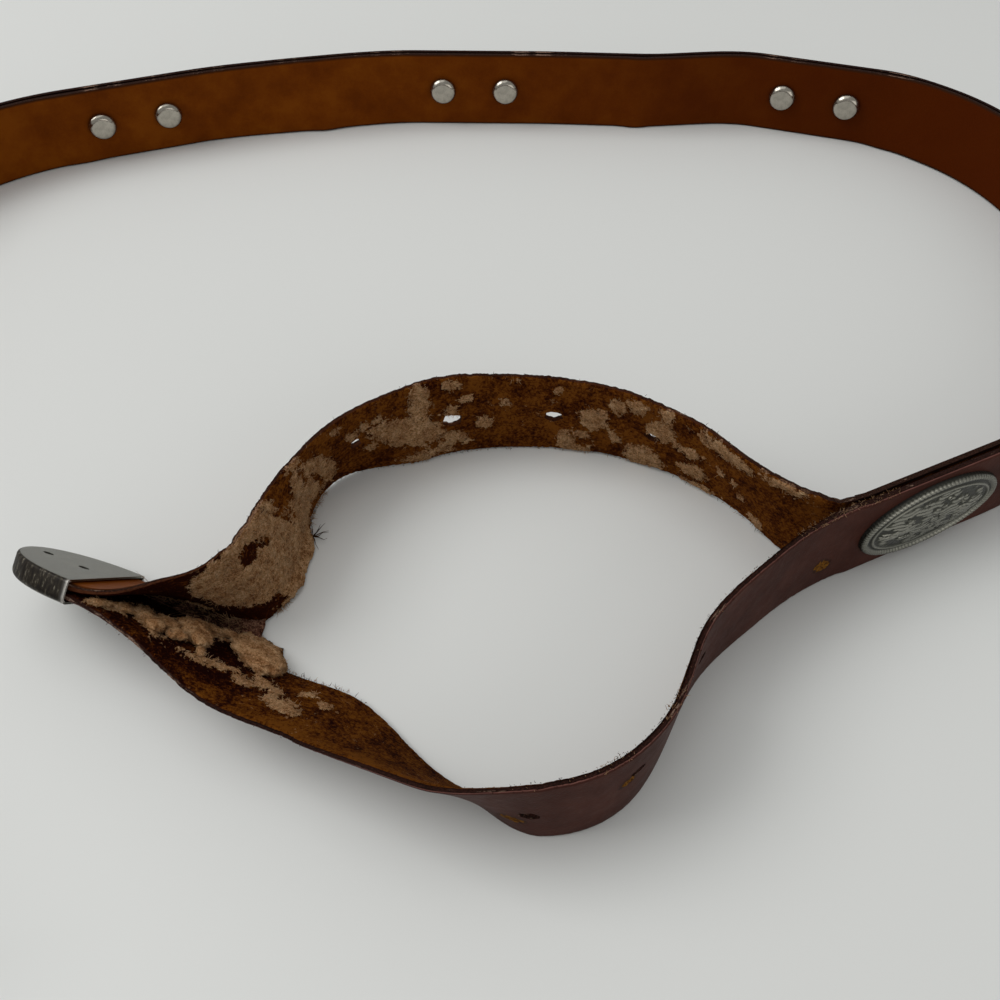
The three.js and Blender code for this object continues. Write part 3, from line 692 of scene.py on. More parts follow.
bruiseColour = (0.012, 0.005, 0.003)
soreStops = [(0.42, (0.05, 0.018, 0.004)), (0.56, (0.20, 0.085, 0.012))]
burgundy = {
    "name": "outerGrain", "roughness": 0.42, "specular": 0.02, "wrinkle": 0.5, "pores": 0.15,
    "stops": [(0.40, (0.042, 0.0155, 0.0115)), (0.5, (0.053, 0.0190, 0.0138)),
              (0.60, (0.066, 0.024, 0.017))],
    "speckle": 0.3, "paintedShadeAlong": (90, 200), "paintedShadeShare": 0.0, "paintedShadeColour": (0.05, 0.018, 0.013),
    # the pinkish corner colour is a painted highlight along the top corner, partly wear
    "cornerWidth": 0.32, "cornerWear": -0.05, "footShare": 0.2, "cornerColour": (0.20, 0.085, 0.07),
    "bruise": bruiseColour, "soreStops": soreStops,
}
caramel = {
    "name": "liningSmooth", "roughness": 0.5, "specular": 0.02, "wrinkle": 0.35, "pores": 0.1,
    "stops": [(0.38, (0.105, 0.022, 0.0009)), (0.5, (0.134, 0.030, 0.0012)), (0.62, (0.165, 0.041, 0.002))],
    # painted shade on the caramel lining along one stretch of the strap
    "speckle": 0.15, "paintedShadeAlong": (-480, -215), "paintedShadeShare": 0.95, "paintedShadeColour": (0.062, 0.0095, 0.0003),
    "cornerWidth": 0.9, "cornerWear": 0.25, "footShare": 1.0, "cornerColour": (0.03, 0.010, 0.004),
    "bruise": bruiseColour, "soreStops": soreStops,
}


def rawLeather(look):
    # the raw face: dark fibres over red-brown and orange-brown, with the torn beige layer on it
    mat = Recipe(look["name"])
    where = strapWhere(mat)
    along, height = mat.attribute("along"), mat.attribute("height")
    fine = mat.grain(where, 1.5, 6, 0.75)
    cloud = mat.grain(where, 0.16, 5, 0.65)
    tone = cloud * 0.34 + fine * 0.66 + height.rise(17, 25) * look["topLight"]
    tone = tone - along.rise(*look["fade"]) * 0.12
    base = mat.ramp(tone, look["stops"])
    wisps = mat.grain(mat.stretch(where, (0.6, 1.3, 1.0)), 1.5, 6, 0.8)
    torn = (mat.attribute("residue") + (wisps - 0.5) * 3.2).rise(-0.04, 0.12)
    specks = mat.grain(where, 0.7, 6, 0.8).rise(0.60, 0.63) * mat.grain(where, 0.12, 2).rise(0.5, 0.62)
    torn = (torn + specks * 0.7).atMost(1)
    beige = mat.ramp(mat.grain(where, 0.45, 6, 0.8) * 0.5 + mat.grain(where, 2.4, 4, 0.7, 1.0) * 0.5,
                     look["tornStops"])
    pits = mat.grain(where, 1.3, 5, 0.75, 0.8).rise(0.42, 0.37)
    shade = mat.blend(torn, base, mat.blend(pits * 0.7, beige, look["pitColour"]))
    fibres = mat.grain(where, 2.8, 6, 0.8, 1.5)
    # painted shade: a near-black band along the top of the raw face near the join, where the plies lie
    # together
    paintedGapShade = height.rise(belt["width"] - look["paintedGapShadeWidth"], belt["width"] - 0.3) * along.rise(*look["paintedGapShadeEnd"])
    shade = mat.blend(paintedGapShade, shade, (0.010, 0.003, 0.002))
    bump = mat.bump(fibres + torn * wisps * 1.5, 0.0012, 1.0)
    return mat.close({"Base Color": shade, "Roughness": 0.95, "Normal": bump, "Specular IOR Level": 0.02})


pitColour = (0.14, 0.048, 0.017)
tornBeige = [(0.42, (0.26, 0.11, 0.042)), (0.5, (0.64, 0.33, 0.145)), (0.58, (0.92, 0.62, 0.35))]
# the torn beige layer where it reaches the cut edges, darkened as painted shade on the upward-facing edges
edgeBeigeInPaintedShade = [(0.42, (0.06, 0.026, 0.012)), (0.5, (0.17, 0.085, 0.045)), (0.58, (0.34, 0.20, 0.12))]
liningRaw = {
    "name": "liningFlesh", "topLight": 0.0, "fade": (150, 188), "paintedGapShadeWidth": 0.9, "paintedGapShadeEnd": (10, 0),
    "stops": [(0.42, (0.035, 0.006, 0.002)), (0.48, (0.13, 0.032, 0.004)), (0.56, (0.30, 0.10, 0.014))],
    "tornStops": tornBeige, "pitColour": pitColour,
}
outerRaw = {
    "name": "outerFlesh", "topLight": 0.05, "fade": (150, 184), "paintedGapShadeWidth": 4.0, "paintedGapShadeEnd": (112, 84),
    "stops": [(0.42, (0.018, 0.0025, 0.0015)), (0.48, (0.095, 0.022, 0.003)), (0.56, (0.26, 0.085, 0.010))],
    "tornStops": tornBeige, "pitColour": pitColour,
}


def cutEdge(look):
    # the cut edge: dark dye with scuffs and loose fibres
    mat = Recipe(look["name"])
    where = strapWhere(mat)
    fine = mat.grain(where, 2.2, 6, 0.7)
    base = mat.ramp(fine, look["stops"])
    scuff = mat.grain(mat.stretch(where, (0.22, 1.0, 0.8)), 0.9, 6, 0.75)
    patchy = mat.grain(where, 0.05, 3, 0.6)
    torn = (scuff + (patchy - 0.5) * 0.9).rise(look["scuffFrom"], look["scuffFrom"] + 0.05)
    shade = mat.blend(torn * 0.85, base, mat.ramp(fine, look["tornStops"]))
    # where the layers have parted, only the smooth half keeps its dye
    raw = mat.ramp(fine * 0.5 + patchy * 0.5, look["rawStops"])
    # torn beige layer on the parted edge, in colours darkened as painted shade
    beige = (mat.attribute("residue") + (fine - 0.5) * 2.4).rise(0.0, 0.2)
    raw = mat.blend(beige, raw, mat.ramp(fine, look["beigeInPaintedShadeStops"]))
    fleshHalf = (mat.attribute("through") * look["fleshWay"] + (fine - 0.5) * 0.8).rise(*look["dyed"])
    shade = mat.blend(fleshHalf * mat.attribute("along").rise(*look["parted"]), shade, raw)
    bump = mat.bump(fine + torn * 0.5, 0.0005, 0.8)
    return mat.close({"Base Color": shade, "Roughness": 0.8, "Normal": bump, "Specular IOR Level": 0.05})


scuffStops = [(0.42, (0.10, 0.045, 0.026)), (0.58, (0.36, 0.24, 0.18))]
outerCut = {"name": "outerEdge", "scuffFrom": 0.585, "tornStops": scuffStops, "beigeInPaintedShadeStops": edgeBeigeInPaintedShade,
            "fleshWay": -1, "dyed": (-0.1, 0.2), "parted": (0, 20),
            "rawStops": [(0.42, (0.008, 0.0025, 0.0015)), (0.58, (0.036, 0.010, 0.006))],
            "stops": [(0.42, (0.008, 0.0035, 0.0025)), (0.58, (0.038, 0.014, 0.010))]}
liningCut = {"name": "liningEdge", "scuffFrom": 0.60, "tornStops": scuffStops, "beigeInPaintedShadeStops": edgeBeigeInPaintedShade,
             "fleshWay": 1, "dyed": (-0.55, -0.25), "parted": (4, 24),
             "rawStops": [(0.42, (0.022, 0.006, 0.003)), (0.58, (0.085, 0.026, 0.010))],
             "stops": [(0.42, (0.010, 0.005, 0.003)), (0.58, (0.046, 0.019, 0.013))]}
outerMaterials = [smoothLeather(burgundy), rawLeather(outerRaw), cutEdge(outerCut)]
liningMaterials = [rawLeather(liningRaw), smoothLeather(caramel), cutEdge(liningCut)]

mouthAt = {ply: float(route["travelled"][-1]) - belt["tipGrip"] - joinAt for ply, route in routes.items()}


def beltHole(ply, step, drop=0.0, long=3.4, tall=3.4, ragged=0.3):
    return {"s": mouthAt[ply] - belt["firstHole"] - belt["holePitch"] * step,
            "t": belt["width"] / 2 - drop * belt["width"], "long": long, "tall": tall, "ragged": ragged}


outerHoles = [beltHole("outer", 1, 0.04, 3.6, 3.0), beltHole("outer", 1.8, -0.14, 3.6, 2.2),
              beltHole("outer", 3)]
liningHoles = [beltHole("lining", 0, 0, 3.0, 3.2), beltHole("lining", 1, 0.045, 5.0, 3.7),
               beltHole("lining", 2, 0.02, 4.8, 3.4), beltHole("lining", 3, 0.0, 4.6, 3.0)]
outerStrap = makeStrap("outerLeather", routes["outer"], belt["outer"], outerAt,
                       foldStations(routes["outer"]), outerFace, outerHoles, outerMaterials)
liningStrap = makeStrap("liningLeather", routes["lining"], belt["lining"], liningAt,
                        [], liningFace, liningHoles, liningMaterials)
for strap, node, slotName in ((outerStrap, "outer_strap", "outer_leather"),
                              (liningStrap, "lining_strap", "lining_leather")):
    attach(strap, "root")
    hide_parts(node)
print("leathers made:", len(outerStrap.data.polygons), len(liningStrap.data.polygons), "faces")


# torn lumps on the inside of the outer leather: place along and up, size along, up and out, and turn
lumps = [
    dict(s=200.0, t=22.6, long=5.5, tall=2.6, thick=1.6, turn=60),
    dict(s=196.6, t=18.8, long=5.0, tall=3.2, thick=1.8, turn=30),
    dict(s=193.2, t=16.4, long=6.0, tall=3.8, thick=2.2, turn=-20),
    dict(s=189.2, t=17.2, long=5.5, tall=4.0, thick=2.2, turn=-30),
    dict(s=188.6, t=13.8, long=6.0, tall=4.0, thick=2.4, turn=0),
    dict(s=184.6, t=15.4, long=5.0, tall=3.6, thick=2.0, turn=10),
    dict(s=184.6, t=10.2, long=8.0, tall=6.0, thick=3.6, turn=-25),
    dict(s=181.0, t=11.6, long=6.0, tall=5.0, thick=3.0, turn=-25),
    dict(s=178.0, t=14.4, long=4.5, tall=1.8, thick=1.2, turn=-50),
    dict(s=185.0, t=4.6, long=10.0, tall=2.6, thick=1.4, turn=20),
    dict(s=179.6, t=2.0, long=8.0, tall=2.8, thick=1.6, turn=15),
    dict(s=172.4, t=1.6, long=13.0, tall=10.5, thick=3.0, turn=10),
    dict(s=168.0, t=3.4, long=9.0, tall=9.0, thick=3.2, turn=0),
    dict(s=175.5, t=-0.6, long=8.0, tall=6.0, thick=2.6, turn=0),
]
fluff = {"rough": 0.30, "fine": 0.13, "floor": 0.25, "detail": 4, "sunk": 0.3}


def pieceWhere(mat):
    # the piece's own coordinates in millimetres
    return mat.stretch(mat.node("ShaderNodeTexCoord", {}, {}, 3), (1000, 1000, 1000))


def fluffLook(name, stops, pit):
    mat = Recipe(name)
    where = pieceWhere(mat)
    wisps = mat.grain(where, 0.5, 6, 0.8)
    fine = mat.grain(where, 2.4, 5, 0.75, 1.2)
    pits = mat.grain(where, 1.2, 5, 0.75, 0.8).rise(0.42, 0.36)
    shade = mat.blend(pits * 0.55, mat.ramp(wisps * 0.5 + fine * 0.5, stops), pit)
    bump = mat.bump(fine + wisps, 0.0012, 1.0)
    return mat.close({"Base Color": shade, "Roughness": 0.95, "Normal": bump, "Specular IOR Level": 0.02})


def addExtra(name, mesh):
    piece = bpy.data.objects.new(name, mesh)
    bpy.context.collection.objects.link(piece)
    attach(piece, "root")
    return piece


def lumpAxes(lump):
    # its middle, its two directions on the inside of the outer leather, and the way off the leather
    spot = stationAt(routes["outer"], joinAt + lump["s"])
    turn = math.radians(lump["turn"])
    axisX = spot["along"] * math.cos(turn) + spot["up"] * math.sin(turn)
    axisY = spot["up"] * math.cos(turn) - spot["along"] * math.sin(turn)
    centre = spot["middle"] + spot["up"] * (lump["t"] - belt["width"] / 2)
    centre = centre + spot["out"] * (belt["gap"] / 2 - lump["thick"] * fluff["sunk"])
    return centre, axisX, axisY, -spot["out"]


def lumpMesh():
    work = bmesh.new()
    for order, lump in enumerate(lumps):
        centre, axisX, axisY, outward = lumpAxes(lump)
        made = bmesh.ops.create_icosphere(work, subdivisions=fluff["detail"], radius=1)["verts"]
        for vert in made:
            ball = vert.co.copy()
            flat = Vector((ball.x * lump["long"] / 2, ball.y * lump["tall"] / 2, ball.z * lump["thick"] / 2))
            swell = 1 + fluff["rough"] * noise.fractal(flat / 1.7 + Vector((order * 9, 0, 0)), 0.8, 2.0, 4)
            swell += fluff["fine"] * noise.noise(flat * 2.4)
            flat *= swell
            point = centre + axisX * flat.x + axisY * flat.y + outward * flat.z
            point[2] = max(point[2], fluff["floor"])
            vert.co = Vector(point) * mm
    mesh = bpy.data.meshes.new("tornLumps")
    work.to_mesh(mesh)
    work.free()
    mesh.polygons.foreach_set("use_smooth", [True] * len(mesh.polygons))
    return mesh


tornLumps = lumpMesh()
tornLumps.materials.append(fluffLook("tornFluff", tornBeige, pitColour))
addExtra("tornLumps", tornLumps)

# a torn web between the lining's foot and the outer leather, behind the tip
web = {
    "from": 2.5, "to": 33.5, "rows": 110, "columns": 14,
    "high": 3.4, "thick": 0.6, "rough": 1.1, "strands": 110,
}


def webSpot(back, share):
    # a point of the web, so far behind the mouth and so far across, and the way towards the mouth
    spots = [stationAt(routes[ply], joinAt + mouthAt[ply] - back) for ply in ("lining", "outer")]
    first = spots[0]["middle"] - spots[0]["up"] * (belt["width"] / 2 - 0.7) - spots[0]["out"] * 0.8
    last = spots[1]["middle"] + spots[1]["up"] * (web["high"] - belt["width"] / 2) + spots[1]["out"] * 0.5
    return first * (1 - share) + last * share, spots[0]["along"]


def webMesh():
    upper, lower = [], []
    for i in range(web["rows"]):
        back = web["from"] + (web["to"] - web["from"]) * i / (web["rows"] - 1)
        for k in range(web["columns"]):
            share = k / (web["columns"] - 1)
            ragged = 2.2 * noise.noise(Vector((share * 5, 0, 21))) * i / web["rows"]
            point, _ = webSpot(back + ragged, share)
            free = math.sin(math.pi * share)
            wave = noise.fractal(Vector((back / 3.0, share * 1.6, 4.0)), 0.8, 2.0, 4)
            lift = wave * web["rough"] * (0.3 + free)
            point = point + np.array([0, 0, lift - 0.8 * free])
            thick = web["thick"] * (0.8 + 0.5 * noise.noise(Vector((back / 1.5, share * 4, 9.0))))
            upper.append((point[0], point[1], max(point[2] + thick / 2, 0.6)))
            lower.append((point[0], point[1], max(point[2] - thick / 2, 0.1)))
    n, total = web["columns"], web["rows"] * web["columns"]
    faces = []
    for i in range(web["rows"] - 1):
        for k in range(n - 1):
            a = i * n + k
            faces.append((a, a + 1, a + n + 1, a + n))
            faces.append((total + a, total + a + n, total + a + n + 1, total + a + 1))
    border = [(i * n, (i + 1) * n) for i in range(web["rows"] - 1)]
    border += [((i + 1) * n + n - 1, i * n + n - 1) for i in range(web["rows"] - 1)]
    border += [(k + 1, k) for k in range(n - 1)]
    border += [(total - n + k, total - n + k + 1) for k in range(n - 1)]
    faces += [(a, b, total + b, total + a) for a, b in border]
    mesh = bpy.data.meshes.new("tornWeb")
    mesh.from_pydata((np.array(upper + lower) * mm).tolist(), [], faces)
    work = bmesh.new()
    work.from_mesh(mesh)
    bmesh.ops.recalc_face_normals(work, faces=work.faces)
    work.to_mesh(mesh)
    work.free()
    mesh.polygons.foreach_set("use_smooth", [True] * len(mesh.polygons))
    return mesh


tornWeb = webMesh()
webStops = [(0.42, (0.045, 0.011, 0.007)), (0.5, (0.18, 0.070, 0.042)), (0.57, (0.55, 0.30, 0.19))]
tornWeb.materials.append(fluffLook("tornWeb", webStops, (0.012, 0.004, 0.003)))
addExtra("tornWeb", tornWeb)

# loose fibres along the cut edges: which edge, from and to, how many, their length, tint and lean outwards
fringes = [
    dict(ply="lining", start=138, end=174, edge=-1, count=900, long=1.5, pale=0.95, outward=0.9),
    dict(ply="lining", start=20, end=138, edge=-1, count=420, long=0.8, pale=0.5, outward=0.5),
    dict(ply="lining", start=12, end=190, edge=1, count=170, long=0.7, pale=0.1, outward=0.0),
    dict(ply="outer", start=-10, end=18, edge=1, count=360, long=0.8, pale=0.6, outward=-0.4),
    dict(ply="outer", start=18, end=118, edge=1, count=420, long=0.45, pale=0.2, outward=-0.3),
    dict(ply="outer", start=66, end=74, edge=1, count=70, long=0.9, pale=0.5, outward=-0.4),
    dict(ply="outer", start=82, end=89, edge=1, count=50, long=0.8, pale=0.5, outward=-0.4),
    dict(ply="outer", start=118, end=200, edge=1, count=90, long=0.5, pale=0.1, outward=0.0),
    dict(ply="outer", start=145, end=186, edge=-1, count=240, long=1.2, pale=0.7, outward=-1.2),
]
fibre = {"radius": 0.085, "joints": 4, "bend": 0.5, "sides": 3}
# short fibres lying on the torn layer and standing out of the lumps
fuzz = {"perArea": 1.5, "long": 1.3, "sunk": 0.1, "perLump": 90, "lumpLong": 1.0}


def fibreMesh(name, roots):
    # tapered, bent threads; each root is its foot, its way, its length and how thick it is
    verts, faces = [], []
    for foot, way, length, thick in roots:
        first = len(verts)
        point, heading = np.array(foot), np.array(way)
        for joint in range(fibre["joints"]):
            across = np.cross(heading, (0.3, 0.2, 0.9))
            across = across / np.linalg.norm(across)
            other = np.cross(heading, across)
            size = thick * fibre["radius"] * (1 - 0.8 * joint / (fibre["joints"] - 1))
            for k in range(fibre["sides"]):
                turn = 2 * math.pi * k / fibre["sides"]
                verts.append(point + (across * math.cos(turn) + other * math.sin(turn)) * size)
            heading = heading + np.array([random.gauss(0, 1) for _ in range(3)]) * fibre["bend"]
            heading = heading / np.linalg.norm(heading)
            point = point + heading * length / (fibre["joints"] - 1)
            point[2] = max(point[2], 0.1)
        n = fibre["sides"]
        for joint in range(fibre["joints"] - 1):
            for k in range(n):
                a, b = first + joint * n + k, first + joint * n + (k + 1) % n
                faces.append((a, b, b + n, a + n))
        faces.append(tuple(first + k for k in reversed(range(n))))
        faces.append(tuple(first + (fibre["joints"] - 1) * n + k for k in range(n)))
    mesh = bpy.data.meshes.new(name)
    mesh.from_pydata((np.array(verts) * mm).tolist(), [], faces)
    return mesh


def fringeRoots():
    pale, dark = [], []
    for row in fringes:
        for _ in range(row["count"]):
            spot = stationAt(routes[row["ply"]], joinAt + random.uniform(row["start"], row["end"]))
            sign = 1 if row["ply"] == "outer" else -1
            through = sign * (belt["gap"] / 2 + random.uniform(0.0, 1.0) * belt["outer"])
            foot = spot["middle"] + spot["up"] * row["edge"] * (belt["width"] / 2 - 0.15)
            foot = foot + spot["out"] * through
            way = spot["up"] * row["edge"] * random.uniform(0.2, 1) + spot["out"] * row["outward"]
            way = way + np.array([random.gauss(0, 0.6) for _ in range(3)])
            length = row["long"] * random.uniform(0.4, 1.3)
            target = pale if random.random() < row["pale"] else dark
            target.append((foot, way / np.linalg.norm(way), length, 1.0))
    # the one long forked strand by the lining's foot
    spot = stationAt(routes["lining"], joinAt + 152)
    foot = spot["middle"] - spot["up"] * (belt["width"] / 2 - 0.6) + spot["out"] * 1.0
    for lift in (0.12, 0.2, 0.3, 0.4):
        for shift in (0, 0.12):
            dark.append((foot + shift, np.array([0.93, 0.1 + lift * 0.6, lift]), 4.4, 2.2))
    # strands drawn out between the layers, along the torn web
    for _ in range(web["strands"]):
        back = random.uniform(6, web["to"] - 3)
        share = random.uniform(0.05, 0.8)
        foot, way = webSpot(back, share)
        length = random.uniform(3, 8)
        target = pale if random.random() < 0.6 else dark
        target.append((foot + np.array([0, 0, 0.6]), way + np.array([0, 0, 0.12]), length, 1.3))
    return pale, dark


def fuzzRoots():
    roots = []
    for ply, patches, way in (("lining", liningTorn, 1), ("outer", outerTorn, -1)):
        surface = -way * belt["gap"] / 2 + way * (leather["tornHeight"] - leather["tornLoss"] - fuzz["sunk"])
        for patch in patches:
            turn = math.radians(patch.get("turn", 0))
            for _ in range(int(patch["long"] * patch["tall"] * fuzz["perArea"])):
                angle, reach = random.uniform(0, 2 * math.pi), math.sqrt(random.random()) * 0.52
                a, b = math.cos(angle) * reach * patch["long"], math.sin(angle) * reach * patch["tall"]
                s = patch["s"] + a * math.cos(turn) - b * math.sin(turn)
                t = patch["t"] + a * math.sin(turn) + b * math.cos(turn)
                bare = patchField(np.array([s]), np.array([t]), liningBare)[0] > -0.4 if way > 0 else False
                if bare or not 0.3 < t < belt["width"] - 0.3:
                    continue
                spot = stationAt(routes[ply], joinAt + s)
                foot = spot["middle"] + spot["up"] * (t - belt["width"] / 2) + spot["out"] * surface
                heading = (spot["along"] * random.gauss(0, 1) + spot["up"] * random.gauss(0, 1)
                           + spot["out"] * way * random.uniform(0.1, 0.7))
                length = fuzz["long"] * random.uniform(0.4, 1.2)
                roots.append((foot, heading / np.linalg.norm(heading), length, 1.0))
    for lump in lumps:
        centre, axisX, axisY, outward = lumpAxes(lump)
        for _ in range(fuzz["perLump"]):
            ball = np.array([random.gauss(0, 1) for _ in range(3)])
            ball = ball / np.linalg.norm(ball)
            push = axisX * ball[0] * lump["long"] / 2 + axisY * ball[1] * lump["tall"] / 2
            push = push + outward * ball[2] * lump["thick"] / 2
            heading = push / np.linalg.norm(push) * 0.5 + np.array([random.gauss(0, 0.6) for _ in range(3)])
            length = fuzz["lumpLong"] * random.uniform(0.4, 1.3)
            roots.append((centre + push * 0.95, heading / np.linalg.norm(heading), length, 1.0))
    return [root for root in roots if root[0][2] > 0.3]


paleRoots, darkRoots = fringeRoots()
fuzzed = fuzzRoots()
for name, roots, stops, slotName in (
    ("paleFibres", paleRoots, [(0.4, (0.30, 0.15, 0.07)), (0.6, (0.66, 0.42, 0.24))], "lining_leather"),
    ("tornFuzz", fuzzed, [(0.4, (0.34, 0.155, 0.062)), (0.6, (0.92, 0.62, 0.36))], "lining_leather"),
    ("darkFibres", darkRoots, [(0.4, (0.012, 0.004, 0.002)), (0.6, (0.09, 0.035, 0.014))], "outer_leather"),
):
    threads = fibreMesh(name, roots)
    threads.materials.append(fluffLook(name, stops, (0.02, 0.008, 0.004)))
    addExtra(name, threads)
print("torn lumps and fibres made:", len(lumps), len(paleRoots) + len(darkRoots) + len(fuzzed))

# conchos and rivet caps

concho = {
    "long": 39, "wide": 22, "plate": 1.1, "dome": 1.1, "rimTop": 1.38,
    "ridgeInset": 2.9, "ridgeWidth": 0.45, "ridgeTop": 0.5, "ropeTurns": 104, "ropeSlant": 1.4,
    "around": 360, "fieldRows": 34, "cut": 0.32, "skirt": 0.28, "leafStretch": 0.55, "veins": 3.1,
    "postSpacing": 22.2, "postDiameter": 3, "postEnd": 5.5, "clearance": 0.3,
}


def scrollAt(x, y, centreX, centreY, turn, size, hand):
    # one leafy scroll: a ridge that winds round its centre and fades out at the given size
    dx, dy = (x - centreX) * concho["leafStretch"], (y - centreY) * hand
    reach = np.hypot(dx, dy) + 1e-6
    angle = np.arctan2(dy, dx) + math.radians(turn)
    winding = (np.log(reach / size) / 0.36 - angle) / (2 * math.pi)
    arm = np.abs(winding - np.round(winding)) * 2
    teeth = 0.16 * np.sin(angle * 9 + reach * 1.5)
    return (1 - soft(arm + teeth, 0.38, 0.72)) * (1 - soft(reach, size * 0.85, size))


def scrollField(x, y):
    # raised ornament of the field, 0..1: a rosette between scrolls with leaves in the gaps
    reach = np.hypot(x, y * 1.15)
    angle = np.arctan2(y * 1.15, x)
    petal = np.abs(np.cos(angle * 4)) ** 0.6
    rosette = (1 - soft(reach, 3.0 + petal * 0.6, 3.5 + petal * 0.6)) * (0.45 + 0.55 * petal)
    rosette = np.where(reach < 1.1, 1.0, rosette * (1 - np.exp(-((reach - 1.35) / 0.22) ** 2)))
    high = rosette
    for side in (-1, 1):
        for row in (
            dict(x=7.6, y=2.5, turn=30, size=3.9, hand=1),
            dict(x=7.9, y=-2.6, turn=200, size=3.7, hand=-1),
            dict(x=12.8, y=-0.2, turn=90, size=3.2, hand=1),
            dict(x=3.4, y=5.4, turn=160, size=2.6, hand=1),
            dict(x=3.4, y=-5.4, turn=0, size=2.4, hand=-1),
        ):
            scroll = scrollAt(x * side, y * side, row["x"], row["y"], row["turn"], row["size"], row["hand"])
            high = np.maximum(high, scroll)
    return high


def conchoMesh():
    a, b = concho["long"] / 2, concho["wide"] / 2
    rimRows = [
        (0.0, -concho["skirt"]), (0.02, 0.2), (0.05, 0.42), (0.12, 0.66), (0.28, 0.95), (0.5, 1.18),
        (0.75, 1.32), (1.0, concho["rimTop"]), (1.25, 1.32), (1.5, 1.16), (1.75, 0.95),
        (1.95, 0.8), (2.15, 0.75),
    ]
    insets = [row[0] for row in rimRows]
    heights = [row[1] for row in rimRows]
    fieldStart = insets[-1]
    for k in range(1, concho["fieldRows"] + 1):
        insets.append(fieldStart + (b - fieldStart) * k / concho["fieldRows"])
    insets = np.array(insets)
    turn = np.linspace(0, 2 * math.pi, concho["around"], endpoint=False)
    inset, angle = np.meshgrid(insets, turn, indexing="ij")
    x, y = (a - inset) * np.cos(angle), (b - inset) * np.sin(angle)
    crown = concho["plate"] * 0.75 + concho["dome"] * soft(inset, fieldStart, b * 0.9)
    z = np.where(inset > fieldStart, crown, 0)
    for k, height in enumerate(heights):
        z[k] = height
    # rope: slanted strands cut into the rim
    strand = np.abs(np.sin(concho["ropeTurns"] / 2 * angle + concho["ropeSlant"] * inset))
    onRim = soft(inset, 0.0, 0.4) * (1 - soft(inset, 1.4, 2.0))
    z = z - 0.16 * onRim * (1 - strand) ** 1.5
    pull = 1 - 0.25 * (1 - strand) * (1 - soft(inset, 0.2, 1.2)) / a
    ridge = np.exp(-((inset - concho["ridgeInset"]) / concho["ridgeWidth"]) ** 2)
    inside = soft(inset, concho["ridgeInset"] + 0.3, concho["ridgeInset"] + 1.0)
    wave = y * concho["veins"] + 0.9 * np.sin(x * 0.55 + 0.8) * np.sign(y) + 0.5 * np.sin(x * 1.3)
    vein = soft(np.abs(np.sin(wave)), 0.15, 0.6)
    ornament = scrollField(x, y) * inside * (0.45 + 0.55 * vein)
    z = z + concho["ridgeTop"] * ridge + concho["cut"] * ornament
    relief = np.where(inset <= fieldStart, soft(z, 0.0, 1.1) * (0.5 + 0.5 * strand),
                      np.maximum(ridge, ornament * 0.7 + vein * 0.3))
    relief = relief * soft(np.abs(inset - 2.2), 0.0, 0.45) + 0.05
    points = np.stack([x * pull, y * pull, z], axis=-1)
    rows, around = inset.shape
    verts = points.reshape(-1, 3).tolist()
    marks = relief.reshape(-1).tolist()
    faces = []
    for i in range(rows - 1):
        for k in range(around):
            n = (k + 1) % around
            faces.append((i * around + k, i * around + n, (i + 1) * around + n, (i + 1) * around + k))
    faces.append(tuple(reversed(range(around))))
    postRadius = concho["postDiameter"] / 2
    sides = 20
    for side in (-1, 1):
        first = len(verts)
        for k in range(sides):
            turnAt = 2 * math.pi * k / sides
            for depth in (-concho["skirt"], -concho["postEnd"]):
                verts.append((side * concho["postSpacing"] / 2 + postRadius * math.cos(turnAt),
                              postRadius * math.sin(turnAt), depth))
                marks.append(0.3)
        for k in range(sides):
            n = (k + 1) % sides
            faces.append((first + 2 * k, first + 2 * k + 1, first + 2 * n + 1, first + 2 * n))
        faces.append(tuple(first + 2 * k + 1 for k in reversed(range(sides))))
        faces.append(tuple(first + 2 * k for k in range(sides)))
    mesh = bpy.data.meshes.new("conchoFace")
    mesh.from_pydata((np.array(verts) * mm).tolist(), [], faces)
    layer = mesh.attributes.new("relief", "FLOAT", "POINT")
    layer.data.foreach_set("value", marks)
    work = bmesh.new()
    work.from_mesh(mesh)
    bmesh.ops.remove_doubles(work, verts=work.verts, dist=0.00001)
    work.to_mesh(mesh)
    work.free()
    mesh.polygons.foreach_set("use_smooth", [True] * len(mesh.polygons))
    mesh.set_sharp_from_angle(angle=math.radians(60))
    return mesh


cap = {"radius": 4.65, "height": 2.4, "around": 40}
capProfile = [
    (0.0, 0.0), (0.25, 0.02), (0.5, 0.06), (0.66, 0.11), (0.72, 0.16), (0.78, 0.3), (0.86, 0.62),
    (0.94, 1.1), (0.985, 1.55), (1.0, 1.9), (0.985, 2.2), (0.93, 2.45), (0.85, 2.65),
]


def capMesh():
    verts, faces = [(0, 0, 0)], []
    n = cap["around"]
    for share, depth in capProfile[1:]:
        for k in range(n):
            turn = 2 * math.pi * k / n
            reach = share * cap["radius"]
            verts.append((reach * math.cos(turn), reach * math.sin(turn), depth))
    for k in range(n):
        faces.append((0, 1 + (k + 1) % n, 1 + k))
    for i in range(len(capProfile) - 2):
        for k in range(n):
            a, b = 1 + i * n + k, 1 + i * n + (k + 1) % n
            faces.append((a, b, b + n, a + n))
    faces.append(tuple(1 + (len(capProfile) - 2) * n + k for k in range(n)))
    mesh = bpy.data.meshes.new("capDome")
    mesh.from_pydata((np.array(verts) * mm).tolist(), [], faces)
    mesh.polygons.foreach_set("use_smooth", [True] * len(mesh.polygons))
    return mesh


